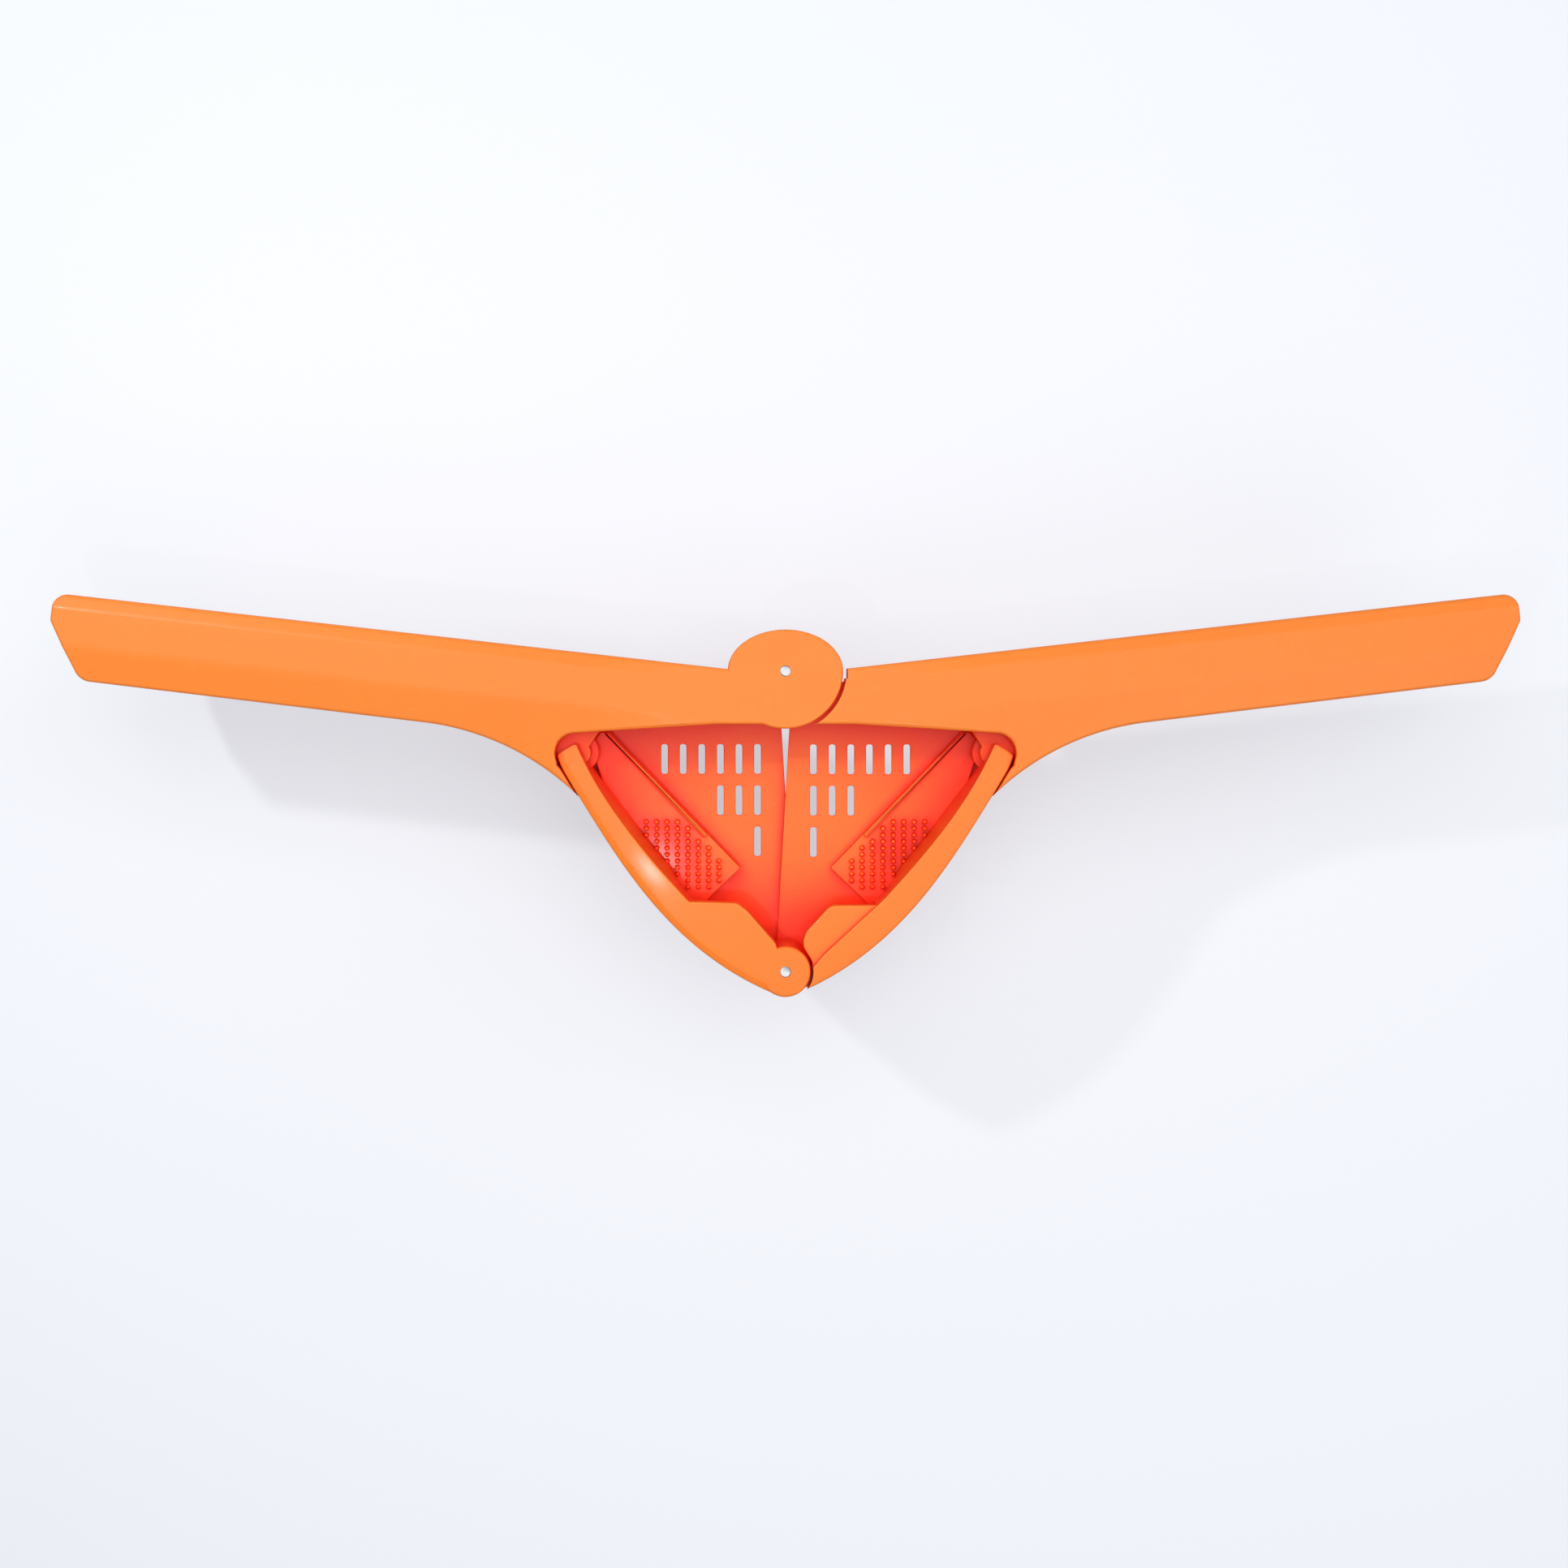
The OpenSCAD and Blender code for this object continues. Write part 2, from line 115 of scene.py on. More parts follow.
# %% curves
def arc(centre, radius, start, end, n=16):
    """centre + radius (cos a, sin a), for a from start to end in degrees"""
    a = np.radians(np.linspace(start, end, n + 1))
    return np.array(centre) + radius * np.stack([np.cos(a), np.sin(a)], 1)

def polar(radius, degrees):
    """the one point at radius and degrees from the origin"""
    return arc([0, 0], radius, degrees, degrees, 0)[0]

def bezier(points, n=24):
    """the cubic u^3 p0 + 3u^2t p1 + 3ut^2 p2 + t^3 p3, with u = 1 - t"""
    t = np.linspace(0, 1, n + 1)[:, None]
    u = 1 - t
    p = np.array(points, float)
    return u**3 * p[0] + 3*u*u*t * p[1] + 3*u*t*t * p[2] + t**3 * p[3]

def spun(p, angle):
    """p turned about the origin by angle"""
    p = np.asarray(p, float)
    c, s = math.cos(angle), math.sin(angle)
    return np.stack([p[..., 0]*c - p[..., 1]*s, p[..., 0]*s + p[..., 1]*c], -1)

def softened(outline, radius, n=5, least=12.0):
    """a closed outline whose corners sharper than least degrees become parabolas that
    leave and join the sides at radius * tan(half the turn), or 0.45 of a side"""
    p = np.asarray(outline, float)
    before, after = np.roll(p, 1, 0) - p, np.roll(p, -1, 0) - p
    lb, la = np.linalg.norm(before, axis=1), np.linalg.norm(after, axis=1)
    turn = np.pi - np.arccos(np.clip((before*after).sum(1) / (lb*la), -1, 1))
    cut = np.minimum(radius * np.tan(turn / 2), 0.45 * np.minimum(lb, la))
    t = np.linspace(0, 1, n)[None, :, None]
    a = (p + before/lb[:, None]*cut[:, None])[:, None]
    b = (p + after/la[:, None]*cut[:, None])[:, None]
    curve = (1-t)**2 * a + 2*t*(1-t) * p[:, None] + t*t * b
    sharp = turn > math.radians(least)
    return np.concatenate([c if s else q[None] for c, s, q in zip(curve, sharp, p)])

def resampled(path, n):
    """n points at equal steps of length along an open path"""
    p = np.asarray(path, float)
    s = np.concatenate([[0], np.cumsum(np.linalg.norm(np.diff(p, axis=0), axis=1))])
    t = np.linspace(0, s[-1], n)
    return np.stack([np.interp(t, s, p[:, 0]), np.interp(t, s, p[:, 1])], 1)

print("a quarter turn of radius 2 ends at", arc([0, 0], 2, 0, 90)[-1].round(3))

# %% [markdown]
# Most plastic parts are outlines raised to a height. So the basic surface is a stack:
# one closed outline, carried up a profile of (inset, height) rows. Each row is the
# outline moved inwards along its own normals, and the grid of rows by outline points
# is the skin. A quarter circle in the profile gives a rounded edge, which a straight
# extrusion followed by a bevel can't promise on outlines with short sides.

# %% stacks
beyond = 25.0
def edge_rows(z0, z1, low=0.3, high=0.5, steps=4):
    """(inset, height) rows of a slab from z0 to z1 with quarter-round edges"""
    t = np.linspace(0, np.pi/2, steps + 1)
    up = np.stack([low * (1-np.sin(t)), z0 + low * (1-np.cos(t))], 1) if low else [[0, z0]]
    down = np.stack([high * (1-np.cos(t)), z1 - high * (1-np.sin(t))], 1) if high else [[0, z1]]
    return np.concatenate([up, down])

def flare_rows(z0, z_face, flare=0.5, steps=4):
    """rows of a cutter that widens by a quarter round up to z_face and goes on past it,
    so that the edge it leaves in the face is rounded"""
    t = np.linspace(0, np.pi/2, steps + 1)
    mouth = np.stack([-flare * (1-np.cos(t)), z_face - flare + flare * np.sin(t)], 1)
    return np.concatenate([[[0, z0]], mouth, [[-flare, z_face + beyond]]])

def ring_quads(rows, n):
    """faces between neighbouring rows of n points, each row closed on itself"""
    r, j = np.meshgrid(np.arange(rows - 1), np.arange(n), indexing="ij")
    j2 = (j + 1) % n
    return np.stack([r*n + j, r*n + j2, (r+1)*n + j2, (r+1)*n + j], -1).reshape(-1, 4).tolist()

def stack(outline, rows):
    """point (row, j) = outline[j] - inset[row] * mitred outward normal[j], at height[row]"""
    p, rows = np.asarray(outline, float), np.asarray(rows, float)
    q = np.roll(p, -1, 0)
    if (p[:, 0]*q[:, 1] - q[:, 0]*p[:, 1]).sum() < 0:
        p = p[::-1]
    side = np.roll(p, -1, 0) - p
    side /= np.maximum(np.linalg.norm(side, axis=1), 1e-9)[:, None]
    normal = np.stack([side[:, 1], -side[:, 0]], 1)
    last = np.roll(normal, 1, 0)
    mitre = (normal + last) / np.maximum(1 + (normal*last).sum(1), 0.5)[:, None]
    n, k = len(p), len(rows)
    xy = p[None] - rows[:, 0, None, None] * mitre[None]
    verts = np.concatenate([xy, np.broadcast_to(rows[:, 1, None, None], (k, n, 1))], 2)
    lids = [list(range(n))[::-1], list(range((k-1)*n, k*n))]
    return verts.reshape(-1, 3), ring_quads(k, n) + lids

def disc(centre, radius, z0, z1, low=0.3, high=0.5, n=72):
    """a round stack"""
    return stack(arc(centre, radius, 0, 360, n)[:-1], edge_rows(z0, z1, low, high))

def cutter(outline, z0, z1):
    """a plain prism that cuts"""
    return stack(outline, [[0, z0], [0, z1]])

def hole(centre, radius, z0, z1, n=72):
    """a plain round cutter"""
    return cutter(arc(centre, radius, 0, 360, n)[:-1], z0, z1)

def box_outline(x0, x1, y0, y1):
    """the corners of a box"""
    return np.array([[x0, y0], [x1, y0], [x1, y1], [x0, y1]], float)

def mirrored(piece):
    """the same piece on the other side of X = 0"""
    return piece[0] * np.array([-1, 1, 1.0]), piece[1]

print("a slab of 12 points has %d corners" % len(disc([0, 0], 5, 0, 2, n=12)[0]))

# %% [markdown]
# The parts of one moulding are welded into a single closed skin, and its hollows and
# bores are cut away. Blender's Manifold solver does that exactly and at once, where a
# pile of shells that run through each other would leave false edges in the mesh.
# Normals weighted by face area then keep flat faces flat beside the rounded edges.

# %% welding and cutting
def solid(name, piece):
    """an object from (points in mm from the hub, faces), with its faces turned outwards"""
    verts, faces = piece
    place = (np.asarray(verts) + [0, hub_y, 0]) * 0.001
    mesh = bpy.data.meshes.new(name)
    mesh.from_pydata(place.tolist(), [], faces)
    bm = bmesh.new()
    bm.from_mesh(mesh)
    bmesh.ops.recalc_face_normals(bm, faces=bm.faces)
    bm.to_mesh(mesh)
    bm.free()
    obj = bpy.data.objects.new(name, mesh)
    bpy.context.scene.collection.objects.link(obj)
    return obj

def flattened(obj):
    """obj with its modifiers made part of its mesh"""
    bpy.context.view_layer.update()
    mesh = bpy.data.meshes.new_from_object(obj.evaluated_get(bpy.context.evaluated_depsgraph_get()))
    old = obj.data
    obj.modifiers.clear()
    obj.data = mesh
    bpy.data.meshes.remove(old)
    return obj

def worked(obj, steps):
    """obj after each (operation, piece) in turn"""
    for i, (operation, piece) in enumerate(steps):
        other = solid("tool", piece)
        m = obj.modifiers.new("step", "BOOLEAN")
        m.operation, m.solver, m.object = operation, "MANIFOLD", other
        flattened(obj)
        bpy.data.objects.remove(other)
        if not len(obj.data.polygons):
            raise RuntimeError("%s is empty after step %d" % (obj.name, i))
    return obj

def together(pieces):
    """separate pieces as one"""
    verts, faces, start = [], [], 0
    for v, f in pieces:
        verts.append(v)
        faces += [[i + start for i in face] for face in f]
        start += len(v)
    return np.concatenate(verts), faces

add = lambda *pieces: [("UNION", p) for p in pieces]
cut = lambda *pieces: [("DIFFERENCE", p) for p in pieces]
print("tools ready")

# %% [markdown]
# A finished skin takes its solid's place: it rides the same body and hides the solid.
# Faces that meet at less than crisp_from shade as one, and sharper edges stay crisp.
# Smoothing all of them would smear dark bands over the flat faces.

# %% finish a skin and put it in its solid's place
skins = {}
crisp_from, weld, sliver = math.radians(38), 2e-6, 1e-6
def finished(obj, node):
    """shades obj, rides it on the node's body and hides the node"""
    bm = bmesh.new()
    bm.from_mesh(obj.data)
    bmesh.ops.remove_doubles(bm, verts=bm.verts, dist=weld)
    bmesh.ops.dissolve_degenerate(bm, dist=sliver, edges=bm.edges)
    open_edges = sum(len(e.link_faces) != 2 for e in bm.edges)
    bm.to_mesh(obj.data)
    bm.free()
    obj.data.polygons.foreach_set("use_smooth", [True] * len(obj.data.polygons))
    obj.data.set_sharp_from_angle(angle=crisp_from)
    m = obj.modifiers.new("normals", "WEIGHTED_NORMAL")
    m.keep_sharp = True
    m.weight = 60
    flattened(obj)
    obj.name = node + "_skin"
    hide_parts(node)
    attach(obj, frame["nodes"][node]["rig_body"])
    own = np.array([v.co for v in obj.data.vertices])
    low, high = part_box(node)
    off = max(np.abs(own.min(0) - np.array(low)).max(), np.abs(own.max(0) - np.array(high)).max())
    tris = sum(len(p.vertices) - 2 for p in obj.data.polygons)
    print("%s: %d triangles, %d open edges, box off by %.2f mm" % (node, tris, open_edges, off*1000))
    skins[node] = obj
    return obj

print("faces that meet under %.0f degrees shade as one" % math.degrees(crisp_from))

# %% [markdown]
# A handle is a long hollow channel. Its front is flat in the middle, with a shallow
# chamfer along the mating edge and a face that falls away towards the grip's lower
# side. It is raised as a flat stack and ruled along its length, and across it where the
# fall eases in. Then every point of the face is let down by the fall at its own place,
# so the rounded edge goes down with the face instead of being sliced off by it.

# %% the handle's outline and fall
flare_from, flare_r, grip_swell = 103.0, 75.0, 0.8
tail = np.array([56.0, -43.7])
flare_c = np.array([flare_from, grip_bottom - grip_swell - flare_r])
tail_angle = math.degrees(math.acos((tail[0] - flare_c[0]) / np.linalg.norm(tail - flare_c)))
tip_r, tip_more, tip_side, tip_slant, corner_r = 4.0, 1.0, 8.0, 8.6, 2.5
handle_outline = softened(np.concatenate([
    [[0, -mate_gap], [30, -mate_gap], [90, -mate_gap], [150, -mate_gap]],
    arc([handle_reach - tip_r, -mate_gap - tip_r], tip_r, 90, 0, 12),
    [[handle_reach, -mate_gap - tip_side]],
    arc([handle_reach - tip_slant - tip_r, grip_bottom + tip_r + tip_more], tip_r + tip_more, -25, -90, 12),
    arc(flare_c, flare_r, 90, tail_angle, 44),
    [[0, tail[1]]]]), corner_r, least=8)

flat_w, chamfer_w, chamfer_d, fall = 15.0, 4.7, 1.4, math.tan(math.radians(12))
chamfer_soft, soft, level_to, fallen_from = 1.4, 2.4, 15.0, 58.0
def drop(x, y):
    """how far the front lies below its flat strip, at x along and y across the handle:
    a chamfer above the strip and a straight fall below it, each eased in over its soft mm,
    times 3s^2 - 2s^3, so that the front is level where it runs into the hub disc"""
    down = -mate_gap - y
    ease = lambda d, w: np.where(d < 0, 0, np.where(d < w, d*d/(2*w), d - w/2))
    s = np.clip((x - level_to) / (fallen_from - level_to), 0, 1)
    return (3*s*s - 2*s**3) * (ease(chamfer_w - down, chamfer_soft) * chamfer_d / (chamfer_w - chamfer_soft/2)
                               + ease(down - flat_w + soft/2, soft) * fall)

# the ruled lines lie closest where the face bends
across = -mate_gap - np.array([1.2, 2.4, 3.3, 3.8, 4.3, 4.7, 13.8, 14.4, 15.0, 15.6, 16.2,
                               20, 24, 28, 33, 38])
lengthwise = np.linspace(level_to, fallen_from, 15)
print("the front falls %.2f mm by the grip's lower edge" % drop(100, grip_bottom))

# %% [markdown]
# A handle is drawn level along its own axes, and then turned to its rise and mirrored to
# the left. A cutter that opens the front plate is let down by the same fall as the face,
# so the rounded edge that it leaves is equally broad all along.

# %% the handle's shell in its place
body_edge, face_band, plate_part = 0.9, 1.0, 0.5
def on_left(piece):
    """from the handle's axes to the left handle's place"""
    v = np.array(piece[0], float)
    v[:, :2] = spun(v[:, :2], handle_rise) * [-1, 1]
    return v, piece[1]

def let_down(piece):
    """a piece in the left handle's place, whose points above the plate follow the fall"""
    v = np.array(piece[0], float)
    own = spun(v[:, :2] * [-1, 1], -handle_rise)
    v[:, 2] -= np.where(v[:, 2] > front_z + plate_part, drop(own[:, 0], own[:, 1]), 0)
    return v, piece[1]

def handle_shell():
    """the raised outline, ruled along and across, and let down by drop(x, y)"""
    obj = solid("shell", stack(handle_outline, edge_rows(0, depth, body_edge, body_edge, 5)))
    bm = bmesh.new()
    bm.from_mesh(obj.data)
    planes = [((0, y + hub_y, 0), (0, 1, 0)) for y in across]
    planes += [((x, 0, 0), (1, 0, 0)) for x in lengthwise]
    for place, normal in planes:
        parts = list(bm.verts) + list(bm.edges) + list(bm.faces)
        bmesh.ops.bisect_plane(bm, geom=parts, dist=1e-7, plane_co=Vector(place) * 0.001,
                               plane_no=Vector(normal))
    verts = np.array([v.co for v in bm.verts]) * 1000 - [0, hub_y, 0]
    bm.verts.index_update()
    faces = [[v.index for v in f.verts] for f in bm.faces]
    bm.free()
    bpy.data.objects.remove(obj)
    verts[:, 2] -= np.where(verts[:, 2] > depth - face_band, drop(verts[:, 0], verts[:, 1]), 0)
    return on_left((verts, faces))

shell = handle_shell()
print("shell: %d points" % len(shell[0]))

# %% [markdown]
# Behind the front plate the handle is hollow where the jaws fold in, open at the rear
# round the chamber, and cored from its mating edge along the grip. The mouth, the
# pockets round the side pivots and the hub's seat are cut with tools that widen at
# the face, which leaves the thin bright rounded edge of a moulding.

# %% pivots, and the jaw's outer face that the mouth follows
hub_r, hub_crown, hub_gap, lug_r = 16.7, 12.0, 0.9, 14.0
pin_r, side_pin_r, turn_gap = 1.6, 1.75, 0.05
mate_wall_t = 4.0
side_lug_r, side_clear_r, side_lug_t = 3.7, 5.9, 4.0
side_lug_z, side_lug_top_z = lip_z - gap - side_lug_t, lip_z - gap
jaw_bow, jaw_meets, knuckle_bite = (6.0, 12.2, 20.8), -66.5, 0.12
far = 90.0

def to_plane(p):
    """from the left jaw's own axes to the plane"""
    return side_pivot + spun(p, jaw_dir)

def jaw_outer(grow=0.0, n=48):
    """the jaw's outer face: a curve bowed out from the line between its pivots, which
    runs into the knuckle at jaw_meets degrees"""
    meets = (knuckle_r - knuckle_bite + grow) * spun([1, 0], math.radians(jaw_meets))
    return bezier([[0, -jaw_bow[0] - grow], [jaw_len/3, -jaw_bow[1] - grow],
                   [jaw_len*2/3, -jaw_bow[2] - grow], [jaw_len, 0] + meets], n)

print("the jaw's outer face is %.1f mm long" % np.linalg.norm(np.diff(jaw_outer(), axis=0), axis=1).sum())

# %% the mouth
pocket_gap, pocket_corner, pocket_foot = 0.35, 6.5, -1.5
mouth_edge, mouth_bend = -15.4, -20.0
def mouth_outline():
    """the front plate's lower edge, then round outside the jaw as far as the plate goes"""
    pocket_top = arc(side_pivot, barrel_r + pocket_gap, 150, 99, 10)
    corner = side_pivot + [[pocket_corner, pocket_corner]]
    middle = [[mouth_bend, mouth_edge], [hub_r, mouth_edge], [hub_r, -far]]
    jaw = to_plane(jaw_outer(gap)[:33][::-1])
    foot = [to_plane([pocket_foot, -jaw_bow[0] - gap])]
    return np.concatenate([pocket_top, corner, middle, jaw, foot])

mouth = softened(mouth_outline(), 3.0, 6, least=25)
print("the mouth starts %.1f mm below the hub pin" % -mouth_edge)

# %% the core bays
bay_from, bay_rib, bay_wall, bay_depth, bays = 74.0, 3.0, 3.5, 18.0, 5
tip_solid, bay_past, bay_corner_r, bay_edge = 12, 6, 1.5, 1.0
bay_l = (handle_reach - bay_from - tip_solid) / bays - bay_rib
def core_bay(i):
    """the i-th hollow along the grip, open at the mating edge"""
    x = bay_from + i * (bay_l + bay_rib)
    outline = softened(box_outline(x, x + bay_l, -mate_gap - bay_depth, bay_past), bay_corner_r)
    return on_left(stack(outline, edge_rows(bay_wall, depth - bay_wall - chamfer_d, bay_edge, bay_edge, 3)))

print("%d core bays of %.1f mm" % (bays, bay_l))

# %% all the cuts in a handle
behind, overlap = -1, 0.01
chamber_to, pocket_to, pocket_low, web_cut_to, web_clear = 54, 67, -28, 40, 16
mouth_flare, pocket_flare = 0.9, 0.6
def own_box(x0, x1, y0, y1, z0, z1):
    """a box that cuts, along the handle's own axes"""
    return on_left(cutter(box_outline(x0, x1, y0, y1), z0, z1))

def handle_cuts(hub_flare):
    """the chamber, the pocket, the mouth, the rear web's edge, the side pivot's room, the
    hub's seat, rounded at the face where hub_flare says so, and the bays"""
    seat = arc([0, 0], hub_r + hub_gap, 0, 360, 120)[:-1]
    seat_rows = flare_rows(behind, depth, hub_flare) if hub_flare else [[0, behind], [0, front_z]]
    pocket = arc(side_pivot, barrel_r + pocket_gap, 0, 360, 72)[:-1]
    web_top = web_t + overlap
    return cut(
        own_box(-hub_r, chamber_to, -far, -mate_gap - mate_wall_t, low_top_z, front_z),
        own_box(-hub_r, pocket_to, pocket_low, hub_r, web_t, low_top_z + overlap),
        let_down(stack(mouth, flare_rows(web_t, depth, mouth_flare))),
        own_box(-hub_r, web_cut_to, -far, far, behind, web_top),
        cutter(to_plane(jaw_outer(gap, web_clear)[4:][::-1]), behind, web_top),
        cutter(pocket, web_t, side_lug_z - gap),
        let_down(stack(pocket, flare_rows(side_lug_top_z, depth, pocket_flare))),
        stack(seat, seat_rows),
        *[core_bay(i) for i in range(bays)])

print("%d cuts in a handle" % len(handle_cuts(None)))

# %% [markdown]
# A hub disc is round below the pin and a flatter ellipse above it. The side lug is a
# boss that carries the jaw's pin, with an arm to the pocket's corner. Both are stacks,
# so their edges are rounded like the rest.

# %% hub discs and side lugs
def crowned(r, n=64):
    """round below, an ellipse of the same width above"""
    low = arc([0, 0], r, 180, 360, n)[:-1]
    high = arc([0, 0], 1, 0, 180, n)[:-1] * [r, r * hub_crown / hub_r]
    return np.concatenate([low, high])

arm_x, arm_low, arm_high, arm_r = 6.3, 6.6, 9.0, 12.0
lug_end = arc([0, 0], side_lug_r, 215, 390, 30)
lug_arm = [[arm_x, arm_low], [arm_x, arm_high], [0, arm_r], polar(arm_r, 175)]
lug_outline = side_pivot + np.concatenate([lug_end, lug_arm])
side_lug = stack(lug_outline, edge_rows(side_lug_z, side_lug_top_z, 0, 0.4))
print("hub discs are %.1f mm wide, side lugs %.1f mm" % (2 * hub_r, 2 * side_lug_r))

# %% [markdown]
# The left handle carries two hub discs, one in front that shows and one behind the
# right handle's lug, so the hub pin has a bearing on both sides. The front disc runs
# into the front plate without a seam, as one moulding does.

# %% the left handle
neck_to, neck_in, sunk, pin_cap = 24, 0.6, 0.05, 1
def neck(r, low, z0, z1):
    """a web from a hub disc into the wall along the mating edge"""
    in_wall = spun([[-neck_to, -mate_gap - neck_in], [-neck_to, -mate_gap - mate_wall_t]], -handle_rise)
    outline = np.array([[-r*0.6, -mate_gap + 1.2], *in_wall, [-r - 1.5, -low], [-r*0.5, -low - 3]])
    return cutter(outline, z0, z1)

hub_discs = add(
    stack(crowned(hub_r), edge_rows(front_z, depth, 0.3, 0.8, 5)),
    stack(crowned(hub_r), edge_rows(hub_z, hub_z + hub_disc_t, 0.3, 0.3)),
    neck(hub_r, 7, hub_z + sunk, hub_z + hub_disc_t - sunk), side_lug)
left_bores = cut(
    hole(side_pivot, side_pin_r, behind, side_lug_top_z - pin_cap),
    stack(arc([0, 0], pin_r, 0, 360, 48)[:-1], flare_rows(hub_z - 1, depth, 0.12)))
left_handle = worked(solid("left_handle", shell), handle_cuts(hub_flare=None) + hub_discs + left_bores)
finished(left_handle, "left_handle")

# %% [markdown]
# The right handle is the mirror image, except at the hub: one lug sits between the
# two discs of the left handle, and a slot of daylight stays open beside the disc.

# %% the right handle
slot_to, slot_from, slot_over, slot_skew = hub_r + hub_gap, hub_r - 4, 0.5, 0.7
slot_top, slot_low, lug_neck_top = 12, -2.2, -3.2
lug_neck = np.array([
    [lug_r*0.6, lug_neck_top], [slot_to - slot_skew, lug_neck_top],
    *spun([[neck_to, -mate_gap - 1], [neck_to, -mate_gap - mate_wall_t - 0.5]], handle_rise),
    [hub_r + 2, -10.5], [lug_r*0.5, -12.5]])
daylight = np.array([
    [slot_from, 0], [slot_from, slot_top], [slot_to + slot_over, slot_top],
    [slot_to + slot_over, slot_low], [slot_to - slot_skew, slot_low]])
right_cuts = [(kind, mirrored(piece)) for kind, piece in handle_cuts(hub_flare=0.45)]
hub_lug = add(
    stack(crowned(lug_r), edge_rows(lug_z, lug_top_z, 0.3, 0.3)),
    cutter(lug_neck, lug_z + sunk, lug_top_z - sunk), mirrored(side_lug))
right_bores = cut(
    hole(side_pivot * [-1, 1], side_pin_r, behind, side_lug_top_z - pin_cap),
    hole([0, 0], pin_r + turn_gap, lug_z - 1, lug_top_z + 1), cutter(daylight, behind, depth + 1))
right_handle = worked(solid("right_handle", mirrored(shell)), right_cuts + hub_lug + right_bores)
finished(right_handle, "right_handle")

# %% [markdown]
# A jaw's wall and rim are one bar between two curves, the inner edge round the fruit
# and the bowed outer face. Its cross-section is carried along: a fine round on the
# inner edge, a flat top, and a narrow face that slopes off to a rounder outer edge.
# Below the rim the inner face leans in towards the shelf, as a moulding has to so that
# it leaves its mould. A stack would give both edges the same round, and the rim would
# lose its light line.

# %% the two curves
def rim_inner(n=24):
    """the inner edge, from the side pivot to the lip"""
    return bezier([[-2.3, 2.1], [16, -4.8], [35, -5.6], [52.8, -6.1]], n)
rim_cut = [-3.6, -4.4]
left_wall_end = [[75, -5.4], [jaw_len, -3.7]]
right_wall_end = [[64.7, -5.3], [76.4, -4.6], [jaw_len, -5.2]]

def eased(path, window=5):
    """an open path with each point moved to the mean of its neighbours, ends kept"""
    p = np.array(path)
    for _ in range(window):
        p[1:-1] = (p[:-2] + 2*p[1:-1] + p[2:]) / 4
    return p

def stepped(s, a, b):
    """3t^2 - 2t^3, where t goes from 0 at a to 1 at b"""
    t = np.clip((s - a) / (b - a), 0, 1)
    return t**2 * (3 - 2*t)

print("the inner edge ends at", rim_inner()[-1], "mm along the jaw")

# %% the bar's cross-section
fine, broad, slope, foot_cut, lean = 0.45, 0.8, 0.3, 0.4, 1.6
foot_z = left_floor_z - 0.15
lean_rows = np.array([[0, shelf_top_z - 0.5], [-1, shelf_top_z - 0.4], [-0.95, shelf_top_z + 0.3]])
quarter = np.linspace(0, np.pi/2, 5)

def inner_rows():
    """(way in from the inner edge, height): the foot, the leaning rows and a fine round"""
    edge = np.stack([fine*(1-np.cos(quarter)), jaw_top_z - fine*(1-np.sin(quarter))], 1)
    return np.concatenate([[[foot_cut, foot_z], [0, foot_z + foot_cut]], lean_rows * [0, 1], edge])

def outer_rows():
    """(way in from the outer edge, height): the flat, the slope, a broad round, the foot"""
    face = [[2.3, jaw_top_z], [1.9, jaw_top_z - 0.04], [1.4, jaw_top_z - slope*0.5]]
    edge = np.stack([broad*(1-np.sin(quarter)), jaw_top_z - slope - broad*(1-np.cos(quarter))], 1)
    return np.concatenate([face, edge, [[0, foot_z + foot_cut], [foot_cut, foot_z]]])

def lean_at(s):
    """the lean at a share s of the wall's length: it comes in soon and ends before the lip"""
    return lean * stepped(s, 0.05, 0.30) * (1 - stepped(s, 0.50, 0.58))

print("%d points round the bar" % (len(inner_rows()) + len(outer_rows())))

# %% the wall and rim
def with_lid(grid, lid_in=0.8, lid_step=0.4):
    """the grid with its first station moved along and a smaller copy of it in front"""
    middle = grid[0].mean(0)
    along = (grid[1] - grid[0]).mean(0)
    along /= np.linalg.norm(along)
    lid = middle + (grid[0] - middle) * (1 - lid_in / np.ptp(grid[0], 0).clip(4))
    grid[0] += along * lid_step
    return np.concatenate([lid[None], grid])

def wall(end, stations=110):
    """grid (station, row): the row's share of the way from the inner to the outer edge"""
    inner = eased(resampled(np.concatenate([rim_inner(), end]), stations))
    outer = eased(resampled(np.concatenate([[rim_cut], jaw_outer()]), stations))
    width = np.linalg.norm(outer - inner, axis=1)[:, None]
    rows_in, rows_out = inner_rows(), outer_rows()
    leaning = np.zeros((stations, len(rows_in)))
    leaning[:, 2:5] = lean_at(np.linspace(0, 1, stations)[:, None]) * lean_rows[:, 0]
    share = np.concatenate([(rows_in[None, :, 0] + leaning) / width, 1 - rows_out[None, :, 0] / width], 1)
    height = np.concatenate([rows_in[:, 1], rows_out[:, 1]])
    xy = to_plane(inner[:, None] * (1-share[..., None]) + outer[:, None] * share[..., None])
    grid = np.concatenate([xy, np.broadcast_to(height[None, :, None], xy.shape[:2] + (1,))], 2)
    grid = with_lid(grid)
    m, k = grid.shape[:2]
    return grid.reshape(-1, 3), ring_quads(m, k) + [list(range(k)), list(range((m-1)*k, m*k))]

print("wall grid: %d points" % len(wall(left_wall_end)[0]))

# %% [markdown]
# Inside the wall lie the strainer floor and, raised above it, a shelf with a bead along
# its free edge. All three are flat plates with rounded edges, so they are
# stacks. The lip closes the chamber towards the base and runs into the front knuckle.

